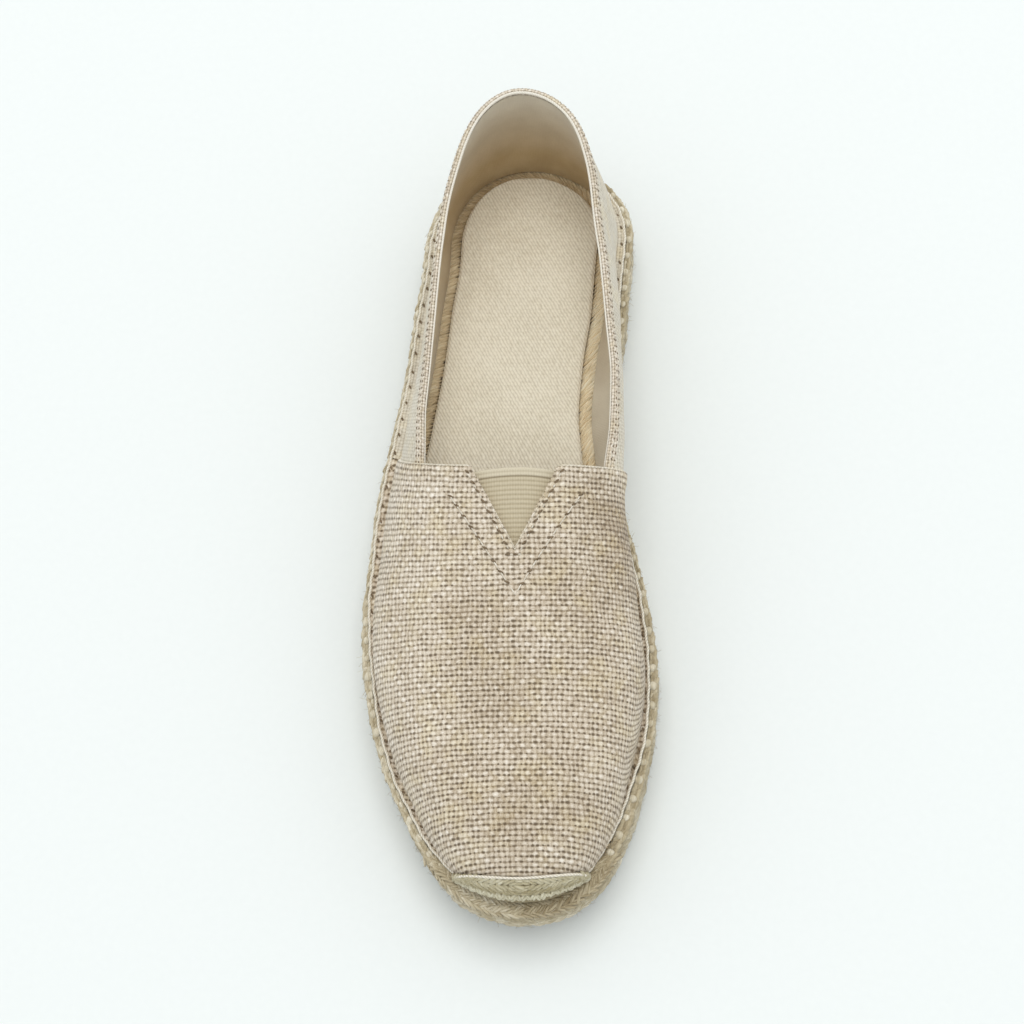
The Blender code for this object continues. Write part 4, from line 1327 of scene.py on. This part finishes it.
def wall_at(along, up, lift):
    """Points of the quarter: distance along from its lateral front end, height up the wall, lift off it."""
    column = np.interp(along, WALL_RUN, np.arange(len(WALL_RUN)))
    column, up, lift = np.broadcast_arrays(column, up, lift)
    tall = np.interp(column, np.arange(len(WALL_TALL)), WALL_TALL)
    row = np.clip(up / tall, 0.0, 1.0) * (QUARTER_UPS - 1)
    out = unit(sample(wall_normal, column, row))
    return sample(wall_inner, column, row) + out * lift[..., None]


middle_line = wall_inner[:, QUARTER_UPS // 2]
WALL_RUN = distance(middle_line)
WALL_TALL = runs(wall_inner, 1)[:, -1]
QUARTER_THREAD = 0.0012
COLLAR_HEM = 0.0031
COLLAR_LIFT = 0.0018
QUARTER_LIFT = 0.0012
QUARTER_WAVE = 0.0005
QUARTER_FLANGE = 0.0045
step = QUARTER_THREAD / 2.5
along = np.arange(0.0, WALL_RUN[-1], step)[:, None]
up = np.arange(-QUARTER_FLANGE, WALL_TALL.max(), step)[None, :]
tall = np.interp(along, WALL_RUN, WALL_TALL) - COLLAR_HEM + 0.0004
held = np.clip(up, 0.0, tall)
relief = plain_weave(along / QUARTER_THREAD, up / QUARTER_THREAD) * WEAVE_RELIEF * (up < tall)
soft = QUARTER_WAVE * ripple(np.broadcast_to(along, held.shape), held, 21, 0.05)
soft = soft * np.sin(np.pi * held / (tall + 0.004))
places = wall_at(along, held, QUARTER_LIFT + relief + soft)
side = np.where(along < WALL_RUN[-1] / 2.0, LATERAL, MEDIAL)
foot_y = places[:, :, 1]
target = np.where(side < 0, seam_inset(LATERAL, foot_y), seam_inset(MEDIAL, foot_y))
flange = np.maximum(0.0, FOOT_INSET - QUARTER_LIFT + 0.0003 - target)
turned = np.clip(-up, 0.0, flange)
outward = wall_at(along, np.zeros_like(up), 0.001) - wall_at(along, np.zeros_like(up), 0.0)
outward = unit(outward * (1.0, 1.0, 0.0))
places = places + outward * turned[..., None] + UP * (np.where(turned > 0, FLANGE_LIFT, 0.0))[..., None]
lay = np.stack(np.broadcast_arrays(along, up), axis=-1)
tone = 0.30 + 0.12 * ripple(*np.broadcast_arrays(along, up), 31, 0.05)
quarter_cloth = laid_grid("quarter_cloth", places, lay, tone)
cut_away(quarter_cloth, corners_all((up >= tall) | (-up > flange)))

# Hem of the collar: outer face, rounded rim and inner face in one band
HEM_THREAD = 0.0011
HEM_ROUND = COLLAR_LIFT / 2.0
HEM_EDGE_RISE = 0.0003
hem_along = np.arange(0.0, WALL_RUN[-1], HEM_THREAD / 3.0)[:, None]
hem_tall = np.interp(hem_along, WALL_RUN, WALL_TALL)
OUTER_POINTS = 12
steps_up = np.linspace(-COLLAR_HEM, -HEM_ROUND, 8)
outer_lift = np.where(steps_up < -COLLAR_HEM + 0.0001, QUARTER_LIFT, COLLAR_LIFT)
steps_up[1] = -COLLAR_HEM + HEM_EDGE_RISE
bend = np.linspace(0.0, np.pi, 9)[1:]
profile_up = np.concatenate((steps_up, -HEM_ROUND + HEM_ROUND * np.sin(bend), (-COLLAR_HEM,)))
profile_lift = np.concatenate((outer_lift, HEM_ROUND + HEM_ROUND * np.cos(bend), (-0.0001,)))
profile_run = distance(np.column_stack((profile_up, profile_lift)))
hem_relief = plain_weave(hem_along / HEM_THREAD, profile_run[None, :] / HEM_THREAD) * WEAVE_RELIEF
outer_only = np.where(np.arange(len(profile_up)) < OUTER_POINTS, 1.0, 0.0)[None, :]
places = wall_at(hem_along, hem_tall + profile_up[None, :], profile_lift[None, :] + hem_relief * outer_only)
lay = np.stack(np.broadcast_arrays(hem_along, profile_run[None, :]), axis=-1)
collar_hem = laid_grid("collar_hem", places, lay, np.full(places.shape[:2], 0.12))
HEM_LINEN = linen("hem_linen", HEM_THREAD, 1.0, LINEN_COLOURS, (0.17, 0.13, 0.08), 0.75, 0.0003)
QUARTER_LINEN = linen("quarter_linen", QUARTER_THREAD, 0.8,
                      ((0.0, (0.40, 0.34, 0.25)), (0.5, (0.58, 0.52, 0.42)), (1.0, (0.78, 0.73, 0.63))),
                      (0.28, 0.23, 0.16), 0.5, 0.00012)
for piece, finish in ((quarter_cloth, QUARTER_LINEN), (collar_hem, HEM_LINEN)):
    dress(piece, finish)
    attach(piece, "root")
    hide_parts("upper")

# Lining. Fine unbleached cotton inside vamp and quarter, seamed at the centre back, its edge shown
# as a pale piping along the rim of the collar.
LINING_STEP = 0.0015
# How far the lining's foot stands out, or in where negative: share of the way round from the
# lateral side, and metres
LINING_FLARE = ((0.0, 0.30, 0.44, 0.50, 0.56, 0.70, 1.0),
                (-0.0026, -0.0026, -0.0004, 0.0004, 0.0, -0.0009, -0.0009))
along = np.linspace(0.0, WALL_RUN[-1], int(WALL_RUN[-1] / LINING_STEP))[:, None]
tall = np.interp(along, WALL_RUN, WALL_TALL)
up = np.linspace(0.0, 1.0, 26)[None, :] * (tall - 0.0016)
soft = 0.0004 * ripple(*np.broadcast_arrays(along, up), 41, 0.03) * np.sin(np.pi * up / tall)
flare = np.interp(along / WALL_RUN[-1], *LINING_FLARE) * (1.0 - ease(up / 0.014))
places = wall_at(along, up, flare - 0.0002 - np.abs(soft))
lay = np.stack(np.broadcast_arrays(along, up), axis=-1)
quarter_lining = laid_grid("quarter_lining", places, lay, flip=True)
thin = vamp_inner[::3, ::3] - vamp_normal[::3, ::3] * 0.0001
lay = np.stack((runs(thin, 1), runs(thin, 0)), axis=-1)
vamp_lining = laid_grid("vamp_lining", thin, lay)
middles = centres(thin)
cut_away(vamp_lining, in_notch(middles[:, :, 0], middles[:, :, 1], -0.0012))
lining = join("lining", [quarter_lining, vamp_lining])


def cotton():
    """Fine plain cotton, cream, with painted shade that turns it brown towards the sole, most at the heel.
    """
    made, maker, shader = material("lining_cotton", 0.95, 0.1)
    lay = maker.read("lay").outputs["Vector"]
    weave = use(maker, WEAVE, Lay=lay, Pitch=0.0006, Slub=0.6)
    _, y, z = maker.split(maker.node("ShaderNodeTexCoord").outputs["Object"])
    patch = maker.fit(maker.noise(lay, 90.0, 3.0), 0.3, 0.7)
    # Painted shade: the share of the brown colour grows towards the sole and towards the heel.
    low = maker.times(maker.fit(z, 0.060, 0.030), maker.fit(y, 0.040, 0.110, 0.25, 1.0))
    # The weave's height lightens the thread crowns: painted shade between the threads.
    fine = maker.add(maker.times(weave.outputs["Height"], 0.35), maker.times(patch, 0.35))
    unshaded = maker.ramp(fine, (0.1, (0.60, 0.53, 0.42)), (0.8, (0.76, 0.70, 0.58)))
    painted_shade = maker.ramp(fine, (0.1, (0.405, 0.285, 0.145)), (0.8, (0.58, 0.44, 0.255)))
    maker.join(shader.inputs["Base Color"], maker.mix(low, unshaded, painted_shade))
    bump(maker, shader, weave.outputs["Height"], 0.00005)
    return made


dress(lining, cotton())
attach(lining, "root")
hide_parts("upper")


def tube(name, path, radius, sides=8):
    """A thread or piping along a path, with coordinates along and round it."""
    count = len(path)
    travel = unit(np.gradient(path, axis=0))
    side = unit(np.cross(travel, UP))
    rise = unit(np.cross(side, travel))
    turns = np.linspace(0.0, 2.0 * np.pi, sides + 1)[:, None, None]
    radius = np.broadcast_to(radius, (count,))[:, None].copy()
    radius[[0, -1]] = 0.00001
    places = path + side * radius * np.cos(turns) + rise * radius * np.sin(turns)
    lay = np.stack(np.broadcast_arrays(distance(path)[None, :], turns[:, :, 0] * 0.0005), axis=-1)
    made = laid_grid(name, places, lay)
    close_seams(made)
    return made


def thread_material(name, light, dark, pitch, strength):
    """Twisted cotton thread: slanting ply lines, painted dark in the grooves between the plies as shade."""
    made, maker, shader = material(name, 0.75, 0.2)
    x, y, _ = maker.split(maker.read("lay").outputs["Vector"])
    ply = maker.sine(maker.times(maker.add(x, y), 2.0 * math.pi / pitch))
    fuzz = maker.noise(maker.node("ShaderNodeTexCoord").outputs["Object"], 900.0, 2.0)
    # Painted shade: the ply wave darkens the grooves between the plies.
    level = maker.add(maker.fit(ply, -1.0, 1.0, 0.0, 0.6), maker.times(fuzz, 0.4))
    maker.join(shader.inputs["Base Color"], maker.ramp(level, (0.15, dark), (0.8, light)))
    bump(maker, shader, level, strength)
    return made


along = np.linspace(0.0005, WALL_RUN[-1] - 0.0005, 420)
PIPING = 0.00030 + 0.00020 * np.sin(np.pi * along / WALL_RUN[-1]) ** 2
path = wall_at(along, np.interp(along, WALL_RUN, WALL_TALL) - 0.0004, 0.0001)
piping = tube("piping", path, PIPING)
COTTON_THREAD = thread_material("cotton_thread", (0.90, 0.85, 0.75), (0.62, 0.55, 0.43), 0.0011, 0.00012)
dress(piping, thread_material("piping_cotton", (0.88, 0.84, 0.76), (0.74, 0.68, 0.57), 0.0009, 0.00003))
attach(piping, "root")
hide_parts("upper")

# Seam to the sole. A heavy cream thread runs round the shoe where the linen meets the jute, held by
# stitches whose holes show beside it as dark leaves of painted shade.
SEAM_THREAD = 0.00046
SEAM_START = 0.0135
STITCH_EVERY = 0.0064
line = seam_line(1.0)
behind = line[(line[:, 1] > SEAM_START)]
flat, seam_length = along_line(behind, np.linspace(0.0, 1.0, 700))
run = np.linspace(0.0, seam_length, 700)
travel = unit(np.gradient(flat, axis=0))
wobble = 0.00012 * np.sin(2 * np.pi * run / STITCH_EVERY) + 0.00025 * ripple(run, run * 0.0, 51, 0.02)
flat = flat + outwards(travel) * wobble[:, None]
height = sole_top(flat[:, 1]) + 0.0009 + 0.00022 * np.sin(2 * np.pi * run / STITCH_EVERY + 1.2)
sole_seam = tube("sole_seam", upright(flat, height), SEAM_THREAD)
beside = upright(flat - outwards(travel) * 0.0009, height - 0.0003)
dress(sole_seam, COTTON_THREAD)
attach(sole_seam, "root")


STITCH_REACH = 0.0004


def stitches(name, path, out, pitch, size, hole=(0.00042, 0.00034, 0.00022), lean=0.0):
    """Short stitches at equal steps along a path on a surface, and dark leaves of painted shade for the
    needle holes between them.
    """
    phases = ((0.5, size), (0.0, hole)) if size else ((0.0, hole),)
    run = distance(path)
    count = max(2, int(run[-1] / pitch))
    made = []
    for phase, shape in phases:
        at = (np.arange(count) + phase + 0.25 * (chance.random(count) - 0.5)) / count * run[-1]
        places = spots(path, run, at)
        facing = unit(spots(out, run, at))
        length = unit(spots(path, run, at + STITCH_REACH) - spots(path, run, at - STITCH_REACH))
        across = unit(np.cross(facing, length))
        if not phase:
            length, across = slanted(length, across, np.radians(lean))
        tone = np.full(count, 1.0 if phase else 0.0)
        made.append(strands(name, places, length, across, facing, shape, 0.3, SMALL_LEAF, tone))
    return made


def stitch_material():
    """Linen-coloured stitches, and painted shade for the holes where the needle went through."""
    made, maker, shader = material("stitch_thread", 0.85, 0.1)
    fuzz = maker.noise(maker.node("ShaderNodeTexCoord").outputs["Object"], 1200.0, 2.0)
    thread = maker.ramp(fuzz, (0.3, (0.55, 0.48, 0.38)), (0.7, (0.82, 0.76, 0.66)))
    # Painted shade: the colour of the needle holes.
    hole = maker.ramp(fuzz, (0.3, (0.13, 0.09, 0.05)), (0.7, (0.26, 0.19, 0.12)))
    maker.join(shader.inputs["Base Color"], maker.mix(maker.read("tone").outputs["Fac"], hole, thread))
    bump(maker, shader, fuzz, 0.0001)
    return made


# Rows of stitches: dark leaves of painted shade for needle holes beside the sole's seam, two rows round the
# collar and the rows of the V
STITCH = (0.00075, 0.00030, 0.00030)
COLLAR_HOLE = (0.00036, 0.00028, 0.00020)
COLLAR_ROWS = (0.0010, 0.0024)
COLLAR_STITCH_EVERY = 0.0024
seams = stitches("sole_row", beside, np.tile(UP, (len(beside), 1)), STITCH_EVERY, None,
                 (0.0008, 0.0004, 0.0003), 30.0)
along = np.linspace(0.001, WALL_RUN[-1] - 0.001, 500)
tall = np.interp(along, WALL_RUN, WALL_TALL)
for below in COLLAR_ROWS:
    path = wall_at(along, tall - below, COLLAR_LIFT + 0.00012)
    out = unit(path - wall_at(along, tall - below, 0.0))
    seams += stitches("collar_row", path, out, COLLAR_STITCH_EVERY, STITCH, COLLAR_HOLE)
# Rows of the V in millimetres, as x and distance from the toe tip: near rows with slanting holes, far
# rows where the thread shows as one light line, and the short row that closes the foot of the V
NOTCH_ROWS = (
    ((-16.2, 134.0), (-2.6, 107.6), 22.0, False),
    ((13.8, 134.0), (0.2, 107.6), -22.0, False),
    ((-3.4, 107.0), (1.2, 107.0), 0.0, False),
    ((-22.0, 127.5), (-1.2, 94.4), 30.0, True),
    ((19.5, 127.5), (-1.2, 94.4), -30.0, True),
)
NEAR_STITCH, NEAR_EVERY = (0.0007, 0.0003, 0.0003), 0.0036
FAR_STITCH, FAR_EVERY = (0.0021, 0.00028, 0.00030), 0.0042
NOTCH_HOLE = (0.00100, 0.00042, 0.00028)
for start, end, lean, light in NOTCH_ROWS:
    shares = np.linspace(0.0, 1.0, 60)
    xs, ys = (np.interp(shares, (0, 1), (start[k] / 1000.0, end[k] / 1000.0)) for k in (0, 1))
    rows, columns = find(vamp_outer, xs, ys)
    path, out = sample(vamp_outer, rows, columns), unit(sample(vamp_normal, rows, columns))
    path = path + out * 0.00018 - out * crease_depth(xs, ys)[:, None]
    size, every = (FAR_STITCH, FAR_EVERY) if light else (NEAR_STITCH, NEAR_EVERY)
    seams += stitches("notch_row", path, out, every, size, NOTCH_HOLE, lean)
upper_stitches = join("upper_stitches", seams)
dress(upper_stitches, stitch_material())
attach(upper_stitches, "root")

# Gore. A triangle of ribbed elastic sewn under the V, its top end folded back on itself.
GORE_MARGIN = 0.0040
GORE_END = THROAT_REACH - 0.0010
GORE_RIB = 0.00145
GORE_KNIT = 0.00085
GORE_DROP = 0.0005
GORE_BAND = 0.0022
GORE_ARCH = 0.0007
ys = np.linspace(THROAT_REACH - NOTCH_DEPTH - GORE_MARGIN, GORE_END, 130)
wide = GORE_MARGIN + NOTCH_WIDTH / 2.0 * np.clip((ys - (THROAT_REACH - NOTCH_DEPTH)) / NOTCH_DEPTH, 0, None)
across_share = np.linspace(-1.0, 1.0, 34)
xs = NOTCH_SHIFT + wide[:, None] * across_share[None, :]
arch = GORE_ARCH * (1.0 - across_share[None, :] ** 2) * ease((ys[:, None] - ys[0]) / (ys[-1] - ys[0]))
flat_y = ys[:, None] + arch
rows, columns = find(vamp_inner, xs, np.minimum(flat_y, THROAT_REACH - 0.0002))
base, out = sample(vamp_inner, rows, columns), unit(sample(vamp_normal, rows, columns))
base[:, :, 1] = flat_y
back = ys[-1] - ys[:, None]
ribs = 0.00013 * np.abs(np.sin(np.pi * (back - GORE_BAND) / GORE_RIB)) * (back > GORE_BAND + 0.0004)
groove = 0.00028 * np.exp(-((back - GORE_BAND) / 0.00025) ** 2)
band = 0.00012 * (back < GORE_BAND)
places = base - out * (GORE_DROP - ribs + groove - band)[:, :, None]
lay = np.stack(np.broadcast_arrays(xs, back), axis=-1)
gore = laid_grid("gore", places, lay)
roll_outer = places[-1]
roll_inner = places[-1] - out[-1] * 0.0016
roll = fold("gore_roll", roll_outer, roll_inner, np.tile((0.0, 0.0007, 0.0), (len(roll_outer), 1)), 0.0004)
gore = join("gore", [gore, roll])


def elastic():
    """Ribbed elastic: level ribs with the rubber's fine upright knit between them, with painted shade
    between the ribs and in the groove at the edge of the folded band.
    """
    made, maker, shader = material("elastic_webbing", 0.85, 0.1)
    lay = maker.read("lay").outputs["Vector"]
    x, y, _ = maker.split(lay)
    behind = maker.less(y, GORE_BAND)
    rib = maker.size(maker.sine(maker.times(behind, math.pi / GORE_RIB)))
    knit = maker.sine(maker.times(x, 2.0 * math.pi / GORE_KNIT))
    speck = maker.noise(maker.combine(maker.times(x, 1500.0), maker.times(y, 900.0), 0.0), 1.0)
    in_band = maker.fit(y, GORE_BAND + 0.0003, GORE_BAND - 0.0003)
    # Painted shade: the rib's height lightens the crowns and darkens the hollows between them.
    level = maker.add(maker.times(rib, 0.45), maker.times(speck, 0.35),
                      maker.times(maker.add(knit, 1.0), 0.08))
    ribbed = maker.ramp(level, (0.15, (0.40, 0.33, 0.22)), (0.85, (0.62, 0.545, 0.40)))
    folded = maker.ramp(level, (0.15, (0.50, 0.43, 0.31)), (0.85, (0.68, 0.61, 0.47)))
    colour = maker.mix(in_band, ribbed, folded)
    # Painted shade: a dark line in the groove at the edge of the folded band.
    groove = maker.fit(maker.size(behind), 0.0, 0.0004, 0.6, 0.0)
    maker.join(shader.inputs["Base Color"], maker.mix(groove, colour, (0.20, 0.15, 0.09)))
    bump(maker, shader, level, 0.0002)
    return made


dress(gore, elastic())
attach(gore, "root")
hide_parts("elastic_gore")

# Toe guard. A fine jute plait sewn round the toe, its strands in slanting rows that meet in teeth,
# with a cream cord along its upper edge.
GUARD_REACH = 0.0142
GUARD_SAG = 0.0029
GUARD_GAP = 0.00045
GUARD_COLUMNS = 90


def toe_surface(x, y):
    """Height of the vamp's inner face near the toe."""
    n = read(VAMP, "fullness", y / THROAT_REACH)
    foot = np.where(x < 0.0, -edge_x(LATERAL, FOOT_INSET, y), edge_x(MEDIAL, FOOT_INSET, y))
    share = np.clip(np.abs(x) / np.maximum(foot, 1e-6), 0.0, 1.0)
    return upper_seat(y) + vamp_height(y) * (1.0 - share ** n) ** (1.0 / n)


def guard_face(share, lift):
    """Row of points of the guard: share 0 at the sole, 1 at its upper edge."""
    d = 0.0001
    halves = []
    for side in (LATERAL, MEDIAL):
        line = edge_line(side, FOOT_INSET)
        near = [(0.0, line[0][1])] + [tuple(p) for p in line[1:] if p[1] < GUARD_REACH]
        near.append((float(edge_x(side, FOOT_INSET, GUARD_REACH)), GUARD_REACH))
        halves.append(along_line(np.array(near), np.linspace(0.0, 1.0, GUARD_COLUMNS // 2 + 1))[0])
    feet = np.concatenate((halves[0][::-1], halves[1][1:]))
    x = feet[:, 0] + (np.linspace(feet[0, 0], feet[-1, 0], len(feet)) - feet[:, 0]) * share
    top_line = GUARD_REACH - GUARD_SAG * (1.0 - np.linspace(-1.0, 1.0, len(feet)) ** 2)
    y = feet[:, 1] + (top_line - feet[:, 1]) * share
    rise_x = (toe_surface(x + d, y) - toe_surface(x - d, y)) / (2.0 * d)
    rise_y = (toe_surface(x, y + d) - toe_surface(x, y - d)) / (2.0 * d)
    normal = unit(np.stack((-rise_x, -rise_y, np.ones(len(x))), axis=1))
    spot = np.stack((x, y, toe_surface(x, y)), axis=1) + normal * (WALL + VAMP_STEP + GUARD_GAP + lift)
    floor = sole_top(spot[:, 1]) + CLEARANCE
    spot[:, 2] = np.maximum(spot[:, 2], floor + 0.0014 * share)
    return spot


GUARD_SHARES = np.linspace(0.03, 1.0, 24)
guard_base = np.stack([guard_face(s, 0.0007) for s in GUARD_SHARES])
shell = laid_grid("shell", guard_base, guard_base[:, :, :2], np.full(guard_base.shape[:2], 0.10))
# The shell's depth gives it mostly the jute's painted shade, dark between the guard's strands.
write(shell.data, "depth", "FLOAT", np.full(guard_base.shape[:2], 0.32))
guard_normal = sheet_normals(guard_base)
if guard_normal[12, GUARD_COLUMNS // 2, 2] < 0:
    guard_normal = -guard_normal
# Rows of the guard: share of its depth, lean, size, pitch, phase and shade of the strands. The lean
# turns over at the middle of the toe, and the pale row is a zigzag of short strands.
GUARD_ROWS = (
    (0.18, 64.0, (0.0019, 0.0008, 0.0012), 0.0029, 0.0, 1.15),
    (0.18, -64.0, (0.0019, 0.0008, 0.0012), 0.0029, 1.0, 1.15),
    (0.38, 38.0, (0.0019, 0.0008, 0.0009), 0.0019, 0.5, 0.12),
    (0.56, 38.0, (0.0020, 0.0009, 0.0010), 0.0020, 0.1, 0.62),
    (0.84, -34.0, (0.0020, 0.0009, 0.0010), 0.0020, 0.4, 0.68),
)
guard_parts = [shell]
for share, lean, size, pitch, phase, shade in GUARD_ROWS:
    row = (share - GUARD_SHARES[0]) / (GUARD_SHARES[1] - GUARD_SHARES[0])
    line = sample(guard_base, np.full(GUARD_COLUMNS + 1, row), np.arange(GUARD_COLUMNS + 1.0))
    run = distance(line)
    count = int(run[-1] / pitch)
    at = (np.arange(count) + 0.25 + 0.5 * phase) / count * run[-1]
    column = np.interp(at, run, np.arange(len(run)))
    rows = np.full(count, row)
    spot = sample(guard_base, rows, column)
    out = unit(sample(guard_normal, rows, column))
    travel = unit(sample(np.gradient(guard_base, axis=1), rows, column))
    rise = unit(np.cross(out, travel))
    turn = 1.0 if abs(lean) > 60.0 else np.tanh(spot[:, 0] / 0.003)
    angles = np.radians(lean * turn + 12.0 * (chance.random(count) - 0.5))[:, None]
    length, across = slanted(travel, rise, angles)
    sizes = np.array(size) * jitter(count, 0.15)[:, None]
    bundle = plies(spot + out * 0.0004, length, across, out, sizes, 2)
    tone = np.clip(shade + 0.4 * (chance.random(len(bundle[0])) - 0.5), 0.0, 1.0)
    guard_parts.append(strands("guard_row", *bundle, shape=PLY_LEAF, tone=tone))
plait = join("guard_plait", guard_parts[1:])
GUARD_JUTE = jute("guard_jute", (0.34, 0.28, 0.15), (0.54, 0.48, 0.32), (0.84, 0.80, 0.64),
                  (0.20, 0.15, 0.08), 0.0003)
for piece in (plait, shell):
    dress(piece, GUARD_JUTE)
    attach(piece, "root")
    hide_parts("toe_guard")
shell.name = shell.data.name = "guard_shell"
cord_path = guard_face(1.0, 0.0012)
cord_path[:, 1] += 0.0004
guard_cord = tube("guard_cord", cord_path, 0.00045)
dress(guard_cord, COTTON_THREAD)
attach(guard_cord, "root")

# Floor, light and camera. A pale floor, a broad lamp behind the heel and a bright room; the camera
# looks down on the shoe from beyond the toe.
bpy.ops.mesh.primitive_plane_add(size=12.0, location=(0.0, 0.0, 0.0))
floor = bpy.context.object
floor.name = "floor"
made, maker, shader = material("floor_paper", 0.8)
grain = maker.noise(maker.node("ShaderNodeTexCoord").outputs["Object"], 400.0, 2.0)
paper = maker.ramp(grain, (0.3, (0.845, 0.875, 0.87)), (0.7, (0.855, 0.885, 0.88)))
maker.join(shader.inputs["Base Color"], paper)
floor.data.materials.append(made)


def lamp(name, place, size, power, colour):
    """A square soft lamp turned to the shoe."""
    light = bpy.data.lights.new(name, "AREA")
    light.size = size
    light.energy = power
    light.color = colour
    holder = bpy.data.objects.new(name, light)
    bpy.context.scene.collection.objects.link(holder)
    holder.location = place
    holder.rotation_euler = (Vector((0.0, 0.0, 0.02)) - Vector(place)).to_track_quat("-Z", "Y").to_euler()
    return holder


lamp("window", (0.12, 0.75, 3.0), 1.8, 29.0, (1.0, 0.985, 0.96))
world = bpy.data.worlds.new("room")
world.use_nodes = True
world.node_tree.nodes["Background"].inputs["Color"].default_value = (0.97, 1.0, 1.0, 1.0)
world.node_tree.nodes["Background"].inputs["Strength"].default_value = 0.86
bpy.context.scene.world = world
bpy.context.scene.view_settings.view_transform = "Standard"

LENS, SENSOR = 80.5, 36.0
CAMERA_PLACE = (0.0474, -0.2984, 0.7196)
CAMERA_FORWARD = (0.0085, 0.3906, -0.9205)
CAMERA_RIGHT = (0.99976, -0.0218, 0.0)
CAMERA_SWING = math.radians(4.0)
view = bpy.data.cameras.new("view")
view.lens = LENS
view.sensor_width = SENSOR
camera = bpy.data.objects.new("view", view)
bpy.context.scene.collection.objects.link(camera)
forward, right = Vector(CAMERA_FORWARD).normalized(), Vector(CAMERA_RIGHT).normalized()
above = right.cross(forward)
turned = Matrix.Rotation(CAMERA_SWING, 3, above) @ Matrix((right, above, -forward)).transposed()
camera.matrix_world = Matrix.Translation(CAMERA_PLACE) @ turned.to_4x4()
bpy.context.scene.camera = camera
